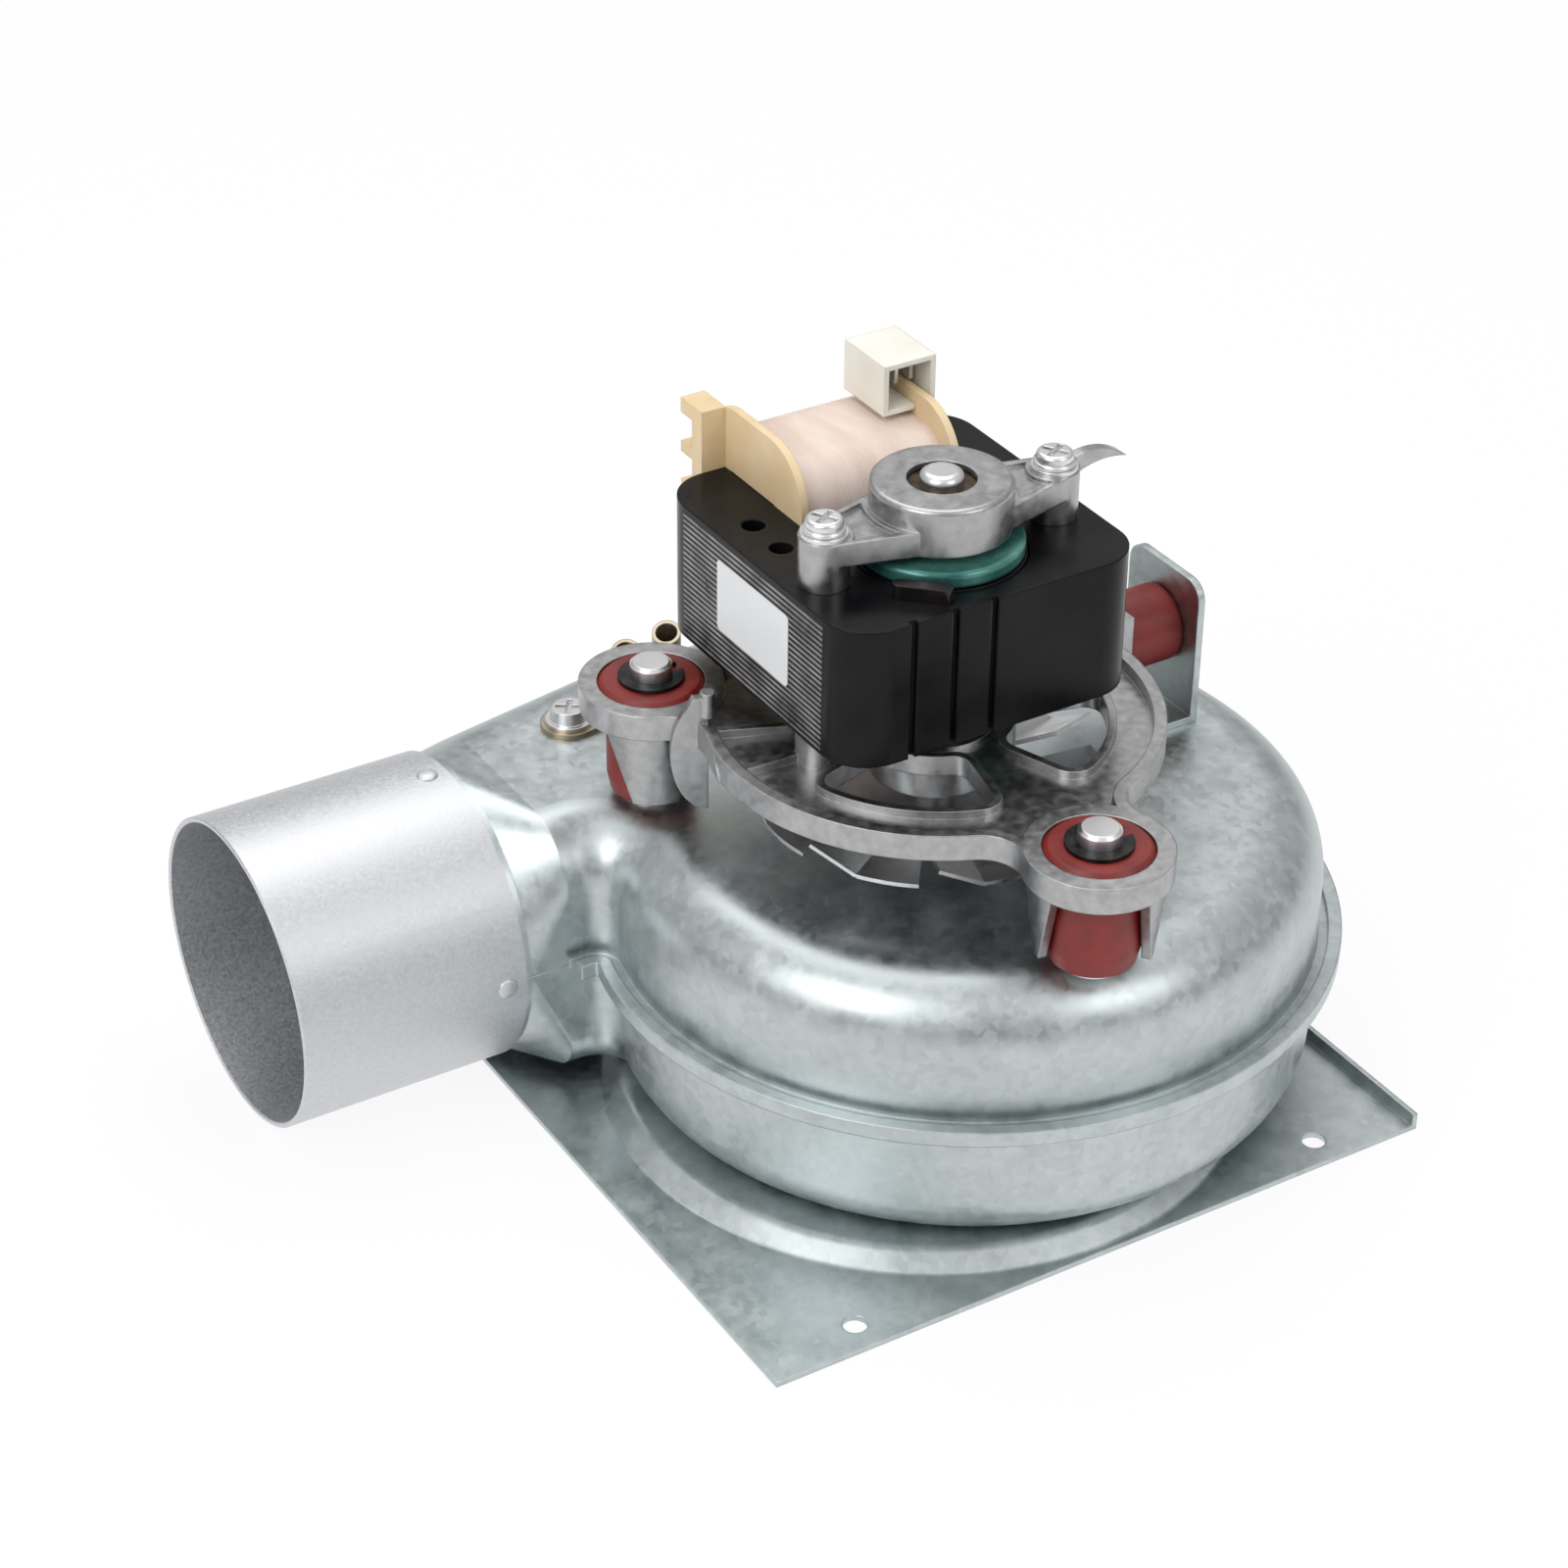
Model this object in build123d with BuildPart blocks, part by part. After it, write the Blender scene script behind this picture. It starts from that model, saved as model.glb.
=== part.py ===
from build123d import *
from math import asin, cos, degrees, radians, sin
import os

os.makedirs("parts", exist_ok=True)

# Flue-gas fan of a gas fireplace: a sheet-steel scroll on a square mounting plate, an
# aluminium outlet spigot, and a shaded-pole motor in a die-cast frame that hangs on two
# silicone grommets and a side bumper. Millimetres, +Z up. Everything is drawn about the
# motor shaft, with z = 0 at the underside of the mounting plate, and is written out with
# the centre of the plate's four holes at the origin. The outlet faces -X.

# Sheet metal and general clearances
sheet = 1.0
seat_gap = 0.05
running_gap = 0.03

# Impeller and outlet bore, which set the size of everything round them
impeller_r = 48.0
blade_depth = 10.0
impeller_eye_r = impeller_r - blade_depth
spigot_r = 30.0

# Mounting plate
plateau_r = impeller_r + 9.0
plateau_slope = 4.0
plateau_height = 3.0
plateau_bend_r = 2.0
plateau_foot = 1.2
plate_margin = 9.5
plate_width = 2 * (plateau_r + plateau_slope + plate_margin)
plate_depth = plate_width
plate_shift_y = 8.0
plate_flange_height = 3.5
plate_hole_r = 2.25
plate_hole_edge_x = 19.75
plate_hole_edge_y = 6.0
inlet_r = impeller_eye_r

# Scroll casing: three tangent arcs that widen towards the outlet, then a straight neck
casing_height = 54.0
tongue_gap = 7.5
scroll_step = 11.0
nose_step = 1.5
scroll_mid_x = scroll_step
scroll_mid_y = 6.0
scroll_nose_r = impeller_r + tongue_gap + scroll_step
scroll_front_r = scroll_nose_r + nose_step
scroll_back_r = scroll_front_r + scroll_step
neck_half = spigot_r - sheet
neck_corner_r = 5.0
neck_stub = 5.5
neck_length = 8.0
neck_start_x = -(impeller_r + tongue_gap + neck_stub)
neck_blend_length = 31.0
neck_blend_top_r = 22.0
neck_blend_bottom_r = 20.0
roof_fillet = 13.0
floor_fillet = 9.0
collar_length = 12.0
rim_width = 4.5
hem_reach = 2.6
roof_hole_r = 6.5

casing_floor_z = sheet + plateau_height
casing_roof_z = casing_floor_z + casing_height
seam_z = casing_floor_z + casing_height / 2
collar_start_x = neck_start_x - neck_length
neck_blend_x = neck_start_x + neck_blend_length
scroll_back_y = scroll_mid_y + scroll_back_r
scroll_nose_y = scroll_mid_y - nose_step
outlet_y = scroll_back_y - neck_half

# Outlet spigot and its rivets
spigot_wall = 1.0
spigot_length = 45.0
spigot_overlap_gap = 1.6
spigot_rivet_r = 1.6
spigot_rivet_inset = 4.0
spigot_rivet_count = 4
spigot_rivet_angle = 35.0

# Impeller
impeller_floor_gap = 12.0
impeller_roof_gap = 8.0
impeller_floor_z = casing_floor_z + impeller_floor_gap
impeller_height = casing_height - impeller_floor_gap - impeller_roof_gap
blade_count = 24
blade_sheet = 0.8
blade_arc_r = 7.0
nozzle_clearance = 1.5
nozzle_straight = 2.0
nozzle_lip = 2.0

# Motor suspension
mount_edge_gap = 3.0
mount_circle_r = scroll_front_r - roof_fillet - mount_edge_gap
left_mount_angle = 138.5
front_mount_angle = -90.5
ear_r = 13.3
ear_hole_r = 9.9
ear_thickness = 4.5
frame_lift = 24.0
frame_top_z = casing_roof_z + frame_lift
stud_r = 3.9
stud_base_r = 5.4
stud_base_height = 2.0
stud_head_above = 3.6
clip_thickness = 0.8
grommet_barrel_r = 8.4

# Die-cast motor frame
ear_overlap = 3.3
frame_r = mount_circle_r - ear_r + ear_overlap
frame_wall = 2.4
frame_wall_height = 5.0
frame_floor = 2.6
window_outer_r = 31.5
window_inner_r = 15.0
window_rim = 1.5
window_corner_r = 3.0
rib_angles = (158.0, 178.0)
rib_width = 1.6
rib_height = 1.6
lower_hub_r = 11.5
lower_hub_lift = 12.0
lower_hub_bottom_z = casing_roof_z + lower_hub_lift
pillar_r = 4.6

# Motor: lamination stack, rotor, coil
pillar_rise = 6.0
stack_floor_z = frame_top_z + pillar_rise
stack_height = 27.0
stack_half_width = 31.0
stack_front_y = -20.0
stack_back_y = 45.0
stack_corner_r = 9.0
rotor_r = 15.5
air_gap = 0.35
leg_inner_x = 17.0
window_front_y = 18.5
coil_core_y = 35.5
coil_core_width = 15.0
winding_build = 8.0
bobbin_wall = 1.0
flange_sheet = 1.6
flange_rise = 4.6
flange_corner_r = 11.0
winding_corner_r = 10.0
shaft_r = 4.0
screw_spacing = 48.0
screw_r = 2.0

# Upper bearing bridge
boss_r = 12.8
boss_height = 9.0
boss_lift = 14.0
boss_top_z = stack_floor_z + stack_height + boss_lift
shaft_stand = 1.5
shaft_end_z = boss_top_z + shaft_stand
foot_r = 4.6
foot_height = 9.5
bearing_r = 7.0
bearing_height = 7.0

# Side bracket and bumper
bracket_edge_gap = 5.0
bracket_x = scroll_back_r - roof_fillet - bracket_edge_gap
bracket_y = 13.5
bracket_width = 22.0
bracket_height = 30.0
bracket_sheet = 1.5
bracket_foot = 8.0
bumper_r = 7.6
bumper_lift = 17.5
bumper_z = casing_roof_z + bumper_lift
bumper_length = 13.0
bumper_edge_r = 1.2
pin_r = 2.45
pin_hole_r = pin_r + seat_gap
pin_head_r = 4.2
pin_head_height = 1.6
bracket_corner_r = 4.0

stack_roof_z = stack_floor_z + stack_height
bore_r = rotor_r + air_gap
front_mount = Vector(mount_circle_r, 0, 0).rotate(Axis.Z, front_mount_angle)
left_mount = Vector(mount_circle_r, 0, 0).rotate(Axis.Z, left_mount_angle)


def casing_outline(grow):
    """Scroll and neck seen from above, moved outwards by grow."""
    back = scroll_back_y + grow
    front = outlet_y - neck_half - grow
    nose_r = scroll_nose_r + grow
    corner_angle = 180 - degrees(asin((front - scroll_nose_y) / nose_r))
    corner = (scroll_mid_x + nose_r * cos(radians(corner_angle)), front)
    with BuildSketch() as outline:
        with BuildLine():
            Line((neck_start_x, back), (0, back))
            CenterArc((0, scroll_mid_y), scroll_back_r + grow, 0, 90)
            CenterArc((scroll_mid_x, scroll_mid_y), scroll_front_r + grow, -90, 90)
            CenterArc((scroll_mid_x, scroll_nose_y), nose_r, -90, corner_angle - 270)
            Line(corner, (neck_start_x, front))
            Line((neck_start_x, front), (neck_start_x, back))
        make_face()
        fillet(outline.vertices().sort_by_distance(corner)[0], neck_corner_r - grow)
    return outline.sketch


def neck_section(x, half_width, half_height, front_r, back_r):
    """Section of the neck across X. Each side has its corner radii above and below."""
    across = Plane(origin=(x, outlet_y, seam_z), x_dir=(0, -1, 0), z_dir=(-1, 0, 0))
    front_top, front_low = front_r
    back_top, back_low = back_r
    with BuildSketch(across) as section:
        with BuildLine():
            Line((back_top - half_width, half_height), (half_width - front_top, half_height))
            CenterArc((half_width - front_top, half_height - front_top), front_top, 90, -90)
            Line((half_width, half_height - front_top), (half_width, front_low - half_height))
            CenterArc((half_width - front_low, front_low - half_height), front_low, 0, -90)
            Line((half_width - front_low, -half_height), (back_low - half_width, -half_height))
            CenterArc((back_low - half_width, back_low - half_height), back_low, -90, -90)
            Line((-half_width, back_low - half_height), (-half_width, half_height - back_top))
            CenterArc((back_top - half_width, half_height - back_top), back_top, 180, -90)
        make_face()
    return section.sketch


def casing_form(inset):
    """Solid form of the casing, its walls moved inwards by inset."""
    half_height = casing_height / 2 - inset
    half_width = neck_half - inset
    round_half = spigot_r - spigot_wall - seat_gap - inset
    round_r = round_half - seat_gap
    pressed_r = (roof_fillet - inset, floor_fillet - inset)
    blended_r = (neck_blend_top_r - inset, neck_blend_bottom_r - inset)
    full = neck_section(neck_blend_x, half_width, half_height, pressed_r, pressed_r)
    start = neck_section(neck_start_x, half_width, half_height, pressed_r, blended_r)
    end = neck_section(collar_start_x, round_half, round_half, (round_r, round_r), (round_r, round_r))
    with BuildPart() as back_corner:
        with Locations((neck_start_x, outlet_y, seam_z)):
            Box(
                neck_blend_length,
                neck_half + sheet,
                casing_height + 2 * sheet,
                align=(Align.MIN, Align.MIN, Align.CENTER),
            )
        loft(sections=[full, start], mode=Mode.SUBTRACT)
    with BuildPart() as form:
        with BuildSketch(Plane.XY.offset(casing_floor_z + inset)):
            add(casing_outline(-inset))
        extrude(amount=2 * half_height)
        mouth = form.faces().sort_by(Axis.X)[0]
        roof = form.faces().sort_by(Axis.Z)[-1].edges() - mouth.edges()
        fillet(roof, roof_fillet - inset)
        mouth = form.faces().sort_by(Axis.X)[0]
        floor = form.faces().sort_by(Axis.Z)[0].edges() - mouth.edges()
        fillet(floor, floor_fillet - inset)
        add(back_corner.part, mode=Mode.SUBTRACT)
        loft(sections=[start, end])
        extrude(end, amount=collar_length + inset)
    return form.part


def ring_sector(inner_r, outer_r, start, sweep):
    """Part of a flat ring between two radii."""
    first, last = radians(start), radians(start + sweep)
    with BuildSketch() as sector:
        with BuildLine():
            CenterArc((0, 0), outer_r, start, sweep)
            Line(
                (outer_r * cos(last), outer_r * sin(last)),
                (inner_r * cos(last), inner_r * sin(last)),
            )
            CenterArc((0, 0), inner_r, start + sweep, -sweep)
            Line(
                (inner_r * cos(first), inner_r * sin(first)),
                (outer_r * cos(first), outer_r * sin(first)),
            )
        make_face()
    return sector.sketch


def finish(node, name):
    """Move a finished piece from the shaft's frame to the plate's, label it and write it."""
    placed = node.part.moved(Location((0, -plate_shift_y, 0)))
    placed.label = name
    export_step(placed, f"parts/{name}.step")


casing_outer = casing_form(0.0)
casing_inner = casing_form(sheet)

# Base plate: square sheet with one turned-up edge and a pressed round plateau
with BuildPart() as base_plate:
    with BuildSketch():
        with Locations((0, plate_shift_y)):
            Rectangle(plate_width, plate_depth)
        Circle(plateau_r + plateau_slope + plateau_foot, mode=Mode.SUBTRACT)
        with Locations((0, plate_shift_y)):
            with GridLocations(
                plate_width - 2 * plate_hole_edge_x, plate_depth - 2 * plate_hole_edge_y, 2, 2
            ):
                Circle(plate_hole_r, mode=Mode.SUBTRACT)
    extrude(amount=sheet)
    with BuildSketch(Plane.XZ):
        with BuildLine():
            FilletPolyline(
                (inlet_r, plateau_height),
                (plateau_r, plateau_height),
                (plateau_r + plateau_slope, 0),
                (plateau_r + plateau_slope + plateau_foot, 0),
                radius=plateau_bend_r,
            )
            offset(amount=sheet, side=Side.LEFT)
        make_face()
    revolve(axis=Axis.Z)
    with BuildSketch():
        with Locations((plate_width / 2, plate_shift_y)):
            Rectangle(sheet, plate_depth, align=(Align.MAX, Align.CENTER))
    extrude(amount=plate_flange_height)
finish(base_plate, "base_plate")

# Inlet nozzle: a rolled mouth that leads the gas into the eye of the impeller
nozzle_throat_r = impeller_eye_r - nozzle_clearance - sheet
nozzle_top_z = impeller_floor_z - nozzle_clearance
nozzle_floor_z = casing_floor_z + sheet
nozzle_roll_r = nozzle_top_z - nozzle_floor_z - nozzle_straight
with BuildPart() as inlet_nozzle:
    with BuildSketch(Plane.XZ):
        with BuildLine():
            throat = Line(
                (nozzle_throat_r, nozzle_top_z), (nozzle_throat_r, nozzle_floor_z + nozzle_roll_r)
            )
            roll_centre = (nozzle_throat_r + nozzle_roll_r, nozzle_floor_z + nozzle_roll_r)
            roll = CenterArc(roll_centre, nozzle_roll_r, 180, 90)
            lip = Line(roll @ 1, roll @ 1 + Vector(nozzle_lip, 0))
            offset(amount=sheet, side=Side.LEFT)
        make_face()
    revolve(axis=Axis.Z)
finish(inlet_nozzle, "inlet_nozzle")

# Lower half of the casing, with the hem that grips the upper half's flange
with BuildPart() as lower_shell:
    add(casing_outer)
    add(casing_inner, mode=Mode.SUBTRACT)
    split(bisect_by=Plane.XY.offset(seam_z), keep=Keep.BOTTOM)
    with BuildSketch(Plane.XY.offset(casing_floor_z)):
        Circle(inlet_r)
    extrude(amount=sheet, mode=Mode.SUBTRACT)
    with BuildSketch(Plane.XY.offset(seam_z)):
        add(casing_outline(rim_width))
        add(casing_outline(-sheet / 2), mode=Mode.SUBTRACT)
    extrude(amount=-sheet)
    with BuildSketch(Plane.XY.offset(seam_z)):
        add(casing_outline(rim_width))
        add(casing_outline(rim_width - sheet), mode=Mode.SUBTRACT)
    extrude(amount=2 * sheet)
    with BuildSketch(Plane.XY.offset(seam_z + sheet)):
        add(casing_outline(rim_width))
        add(casing_outline(rim_width - hem_reach), mode=Mode.SUBTRACT)
    extrude(amount=sheet)
finish(lower_shell, "lower_shell")

# Upper half of the casing, with its flat flange held in the hem
with BuildPart() as upper_shell:
    add(casing_outer)
    add(casing_inner, mode=Mode.SUBTRACT)
    split(bisect_by=Plane.XY.offset(seam_z), keep=Keep.TOP)
    with BuildSketch(Plane.XY.offset(casing_roof_z)):
        Circle(roof_hole_r)
    extrude(amount=-sheet, mode=Mode.SUBTRACT)
    with BuildSketch(Plane.XY.offset(seam_z)):
        add(casing_outline(rim_width - sheet - seat_gap))
        add(casing_outline(-sheet / 2), mode=Mode.SUBTRACT)
    extrude(amount=sheet)
finish(upper_shell, "upper_shell")

# Outlet spigot: a thin aluminium tube pushed over the collar and riveted
spigot_root_x = collar_start_x - spigot_overlap_gap
spigot_plane = Plane(origin=(spigot_root_x, outlet_y, seam_z), x_dir=(0, -1, 0), z_dir=(-1, 0, 0))
rivet_x = spigot_root_x - spigot_rivet_inset
rivet_plane = Plane(origin=(rivet_x, outlet_y, seam_z), x_dir=(0, -1, 0), z_dir=(-1, 0, 0))
with BuildPart() as outlet_spigot:
    with BuildSketch(spigot_plane):
        Circle(spigot_r)
        Circle(spigot_r - spigot_wall, mode=Mode.SUBTRACT)
    extrude(amount=spigot_length)
    with Locations(rivet_plane):
        with PolarLocations(spigot_r, spigot_rivet_count, start_angle=spigot_rivet_angle):
            Cylinder(spigot_rivet_r, 4 * spigot_wall, rotation=(0, 90, 0), mode=Mode.SUBTRACT)
    chamfer(outlet_spigot.edges().filter_by(GeomType.CIRCLE).group_by(Axis.X)[0], spigot_wall / 4)
finish(outlet_spigot, "outlet_spigot")

# Four rivets set flush in the spigot's wall
with BuildPart() as spigot_rivets:
    with Locations(rivet_plane):
        with PolarLocations(spigot_r, spigot_rivet_count, start_angle=spigot_rivet_angle):
            Cylinder(spigot_rivet_r, 4 * spigot_wall, rotation=(0, 90, 0))
    with BuildSketch(rivet_plane):
        Circle(spigot_r)
        Circle(spigot_r - spigot_wall, mode=Mode.SUBTRACT)
    extrude(amount=2 * spigot_rivet_r, both=True, mode=Mode.INTERSECT)
finish(spigot_rivets, "spigot_rivets")

# Pressure tap: a strip on the roof, two slant-cut tubes and a screw
tap_strip_size = (36.0, 11.0)
tap_strip_at = (-29.0, outlet_y + 9.0)
tap_strip_angle = 12.0
tap_tube_r = 2.8
tap_tube_wall = 0.7
tap_tube_height = 11.0
tap_slant_drop = 1.5
tap_slant_normal = (-0.3, -0.25, 1)
tap_tube_spacing = 10.5
tap_screw_r = 3.6
tap_plane = Plane(origin=(tap_strip_at[0], tap_strip_at[1], casing_roof_z)).rotated(
    (0, 0, tap_strip_angle)
)
tap_screw_x = -tap_strip_size[0] / 2 + tap_strip_size[1] / 2
tap_tube_x = tap_strip_size[0] / 2 - tap_strip_size[1] / 2 - tap_tube_spacing / 2
with BuildPart() as tap_strip:
    with BuildSketch(tap_plane):
        SlotOverall(*tap_strip_size)
    extrude(amount=sheet)
finish(tap_strip, "tap_strip")

with BuildPart() as tap_tube_form:
    with BuildSketch():
        Circle(tap_tube_r)
        Circle(tap_tube_r - tap_tube_wall, mode=Mode.SUBTRACT)
    extrude(amount=tap_tube_height)
    slant = Plane(origin=(0, 0, tap_tube_height - tap_slant_drop), z_dir=tap_slant_normal)
    split(bisect_by=slant, keep=Keep.BOTTOM)
with BuildPart() as tap_tubes:
    with Locations(tap_plane.offset(sheet)):
        with Locations((tap_tube_x, 0)):
            with GridLocations(tap_tube_spacing, 0, 2, 1):
                add(tap_tube_form.part)
finish(tap_tubes, "tap_tubes")

tap_collar = 1.0
tap_collar_height = 0.8
tap_head_height = 2.4
tap_head_taper = 8.0
cross_width = 1.0
cross_length = 5.0
cross_depth = 1.2
tap_cross_turn = 45.0
with BuildPart() as tap_screw:
    with BuildSketch(tap_plane.offset(sheet)):
        with Locations((tap_screw_x, 0)):
            Circle(tap_screw_r + tap_collar)
    extrude(amount=tap_collar_height)
    with BuildSketch(tap_plane.offset(sheet + tap_collar_height)):
        with Locations((tap_screw_x, 0)):
            Circle(tap_screw_r)
    extrude(amount=tap_head_height, taper=tap_head_taper)
    with BuildSketch(tap_plane.offset(sheet + tap_collar_height + tap_head_height)):
        with Locations((tap_screw_x, 0)):
            Rectangle(cross_width, cross_length, rotation=tap_cross_turn)
            Rectangle(cross_length, cross_width, rotation=tap_cross_turn)
    extrude(amount=-cross_depth, mode=Mode.SUBTRACT)
finish(tap_screw, "tap_screw")

# Mount studs: flanged posts on the roof with a groove for the retaining clip
grommet_stand = 0.5
stud_point = 0.6
clip_groove = 0.7
grommet_top_z = frame_top_z + grommet_stand
stud_top_z = grommet_top_z + stud_head_above
mounts = (front_mount, left_mount)
with BuildPart() as mount_studs:
    with BuildSketch(Plane.XY.offset(casing_roof_z)):
        with Locations(*mounts):
            Circle(stud_base_r)
    extrude(amount=stud_base_height)
    with BuildSketch(Plane.XY.offset(casing_roof_z)):
        with Locations(*mounts):
            Circle(stud_r)
    extrude(amount=stud_top_z - casing_roof_z)
    chamfer(mount_studs.edges().group_by(Axis.Z)[-1], stud_point)
    with BuildSketch(Plane.XY.offset(grommet_top_z)):
        with Locations(*mounts):
            Circle(stud_r)
            Circle(stud_r - clip_groove, mode=Mode.SUBTRACT)
    extrude(amount=clip_thickness, mode=Mode.SUBTRACT)
finish(mount_studs, "mount_studs")

# Retaining clips: split spring rings in the stud grooves
clip_width = 2.2
clip_mouth = (4.0, 2.4)
with BuildPart() as retaining_clips:
    with BuildSketch(Plane.XY.offset(grommet_top_z)):
        with Locations(*mounts):
            Circle(stud_r + clip_width)
            Circle(stud_r - clip_groove, mode=Mode.SUBTRACT)
            with Locations((stud_r + clip_width / 2, 0)):
                Rectangle(*clip_mouth, mode=Mode.SUBTRACT)
    extrude(amount=clip_thickness)
finish(retaining_clips, "retaining_clips")

# Silicone grommets: a barrel under the ear, a neck in its hole and a hole for the stud
grommet_floor_z = casing_roof_z + stud_base_height
ear_floor_z = frame_top_z - ear_thickness
grommet_draft = 0.6
grommet_foot = 3.0
grommet_shoulder = 1.5
grommet_lip = 1.0
with BuildPart() as grommet_form:
    with BuildSketch(Plane.XZ):
        with BuildLine():
            Polyline(
                (stud_r, grommet_top_z),
                (stud_r, grommet_floor_z),
                (grommet_barrel_r - grommet_draft, grommet_floor_z),
                (grommet_barrel_r, grommet_floor_z + grommet_foot),
                (grommet_barrel_r, ear_floor_z),
                (ear_hole_r - seat_gap, ear_floor_z + grommet_shoulder),
                (ear_hole_r - seat_gap, grommet_top_z - grommet_lip),
                (ear_hole_r - grommet_lip, grommet_top_z),
                close=True,
            )
        make_face()
    revolve(axis=Axis.Z)
with BuildPart() as front_grommet:
    with Locations(front_mount):
        add(grommet_form.part)
finish(front_grommet, "front_grommet")
with BuildPart() as left_grommet:
    with Locations(left_mount):
        add(grommet_form.part)
finish(left_grommet, "left_grommet")

# Side bracket: a bent galvanised plate spot-welded to the roof
with BuildPart() as side_bracket:
    with BuildSketch(Plane.YZ.offset(bracket_x)):
        with Locations((bracket_y, casing_roof_z)):
            Rectangle(bracket_width, bracket_height, align=(Align.CENTER, Align.MIN))
    extrude(amount=bracket_sheet)
    with BuildSketch(Plane.XY.offset(casing_roof_z)):
        with Locations((bracket_x + bracket_sheet, bracket_y)):
            Rectangle(
                bracket_foot + bracket_sheet, bracket_width, align=(Align.MAX, Align.CENTER)
            )
    extrude(amount=bracket_sheet)
    upright = side_bracket.edges().filter_by(Axis.X).group_by(Axis.Z)[-1]
    fillet(upright, bracket_corner_r)
    with Locations(Plane.YZ.offset(bracket_x)):
        with Locations((bracket_y, bumper_z)):
            Cylinder(pin_hole_r, 4 * bracket_sheet, mode=Mode.SUBTRACT)
finish(side_bracket, "side_bracket")

# Side bumper: silicone sleeve between the bracket and the frame's third arm
arm_face_x = bracket_x - bumper_length
with BuildPart() as side_bumper:
    with BuildSketch(Plane.YZ.offset(arm_face_x)):
        with Locations((bracket_y, bumper_z)):
            Circle(bumper_r)
            Circle(pin_hole_r, mode=Mode.SUBTRACT)
    extrude(amount=bumper_length)
    fillet(
        side_bumper.edges().filter_by(GeomType.CIRCLE).group_by(SortBy.RADIUS)[-1], bumper_edge_r
    )
finish(side_bumper, "side_bumper")

# Bumper pin: headed pin through bracket, bumper and arm
arm_thickness = 4.0
pin_head_edge = 0.6
with BuildPart() as bumper_pin:
    with BuildSketch(Plane.YZ.offset(arm_face_x - arm_thickness)):
        with Locations((bracket_y, bumper_z)):
            Circle(pin_r)
    extrude(amount=bumper_length + arm_thickness + bracket_sheet)
    with BuildSketch(Plane.YZ.offset(bracket_x + bracket_sheet)):
        with Locations((bracket_y, bumper_z)):
            Circle(pin_head_r)
    extrude(amount=pin_head_height)
    chamfer(bumper_pin.faces().sort_by(Axis.X)[-1].edges(), pin_head_edge)
finish(bumper_pin, "bumper_pin")

# Shaft seal: felt disc on the roof around the shaft
seal_width = 7.0
seal_gap = 0.3
seal_height = 1.5
with BuildPart() as shaft_seal:
    with BuildSketch(Plane.XY.offset(casing_roof_z)):
        Circle(shaft_r + seal_width)
        Circle(shaft_r + seal_gap, mode=Mode.SUBTRACT)
    extrude(amount=seal_height)
finish(shaft_seal, "shaft_seal")

# Motor frame: an open die casting with a bearing hub, windows, two ears and a side arm
ear_blend_r = 7.0
coil_gap_x = 1.5
coil_gap_y = 1.0
hub_lip = 1.5
finger_lift = 1.5
frame_floor_z = frame_top_z - frame_wall_height
coil_clearance_x = leg_inner_x + coil_gap_x
coil_clearance_y = window_front_y - coil_gap_y
lower_bearing_z = lower_hub_bottom_z + hub_lip + bearing_height / 2
finger_floor_z = grommet_floor_z + finger_lift
arm_half_width = 8.5
lug_height = 17.0
windows = ((-164.0, 62.0), (-70.0, 56.0))
fin_angle = 165.0
fin_height = 20.0
fin_bulge = 7.5


def frame_outline():
    """Frame seen from above: a disc with two ears and an arm, open behind for the coil."""
    with BuildSketch() as outline:
        Circle(frame_r)
        with Locations(*mounts):
            Circle(ear_r)
        near_ears = [
            v
            for v in outline.vertices()
            if min((v.center() - mount).length for mount in mounts) < ear_r + 0.01
            and abs(v.center().length - frame_r) < 0.01
        ]
        fillet(near_ears, ear_blend_r)
        with Locations((arm_face_x, bracket_y)):
            Rectangle(arm_face_x - frame_r / 2, 2 * arm_half_width, align=(Align.MAX, Align.CENTER))
        with Locations((0, coil_clearance_y)):
            Rectangle(
                2 * coil_clearance_x, 2 * frame_r, align=(Align.CENTER, Align.MIN), mode=Mode.SUBTRACT
            )
    return outline.sketch


def window_opening(start, sweep):
    """One window of the frame's floor, with its cast corners rounded."""
    with BuildSketch() as opening:
        add(ring_sector(window_inner_r, window_outer_r, start, sweep))
        fillet(opening.vertices(), window_corner_r)
    return opening.sketch


frame_plan = frame_outline()

# Tapered finger that hangs beside a grommet, drawn about its own mount
finger_root_sweep = 96.0
finger_tip_sweep = finger_root_sweep / 2
finger_root_wall = 2.6
finger_tip_wall = 1.7
finger_gap = 0.5
front_finger_angle = -32.0
left_finger_angle = -115.0
finger_tip_r = grommet_barrel_r + finger_gap
with BuildPart() as finger_form:
    with BuildSketch(Plane.XY.offset(ear_floor_z + finger_gap)):
        add(
            ring_sector(
                ear_hole_r, ear_hole_r + finger_root_wall, -finger_root_sweep / 2, finger_root_sweep
            )
        )
    with BuildSketch(Plane.XY.offset(finger_floor_z)):
        add(
            ring_sector(
                finger_tip_r, finger_tip_r + finger_tip_wall, -finger_tip_sweep / 2, finger_tip_sweep
            )
        )
    loft()

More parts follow.
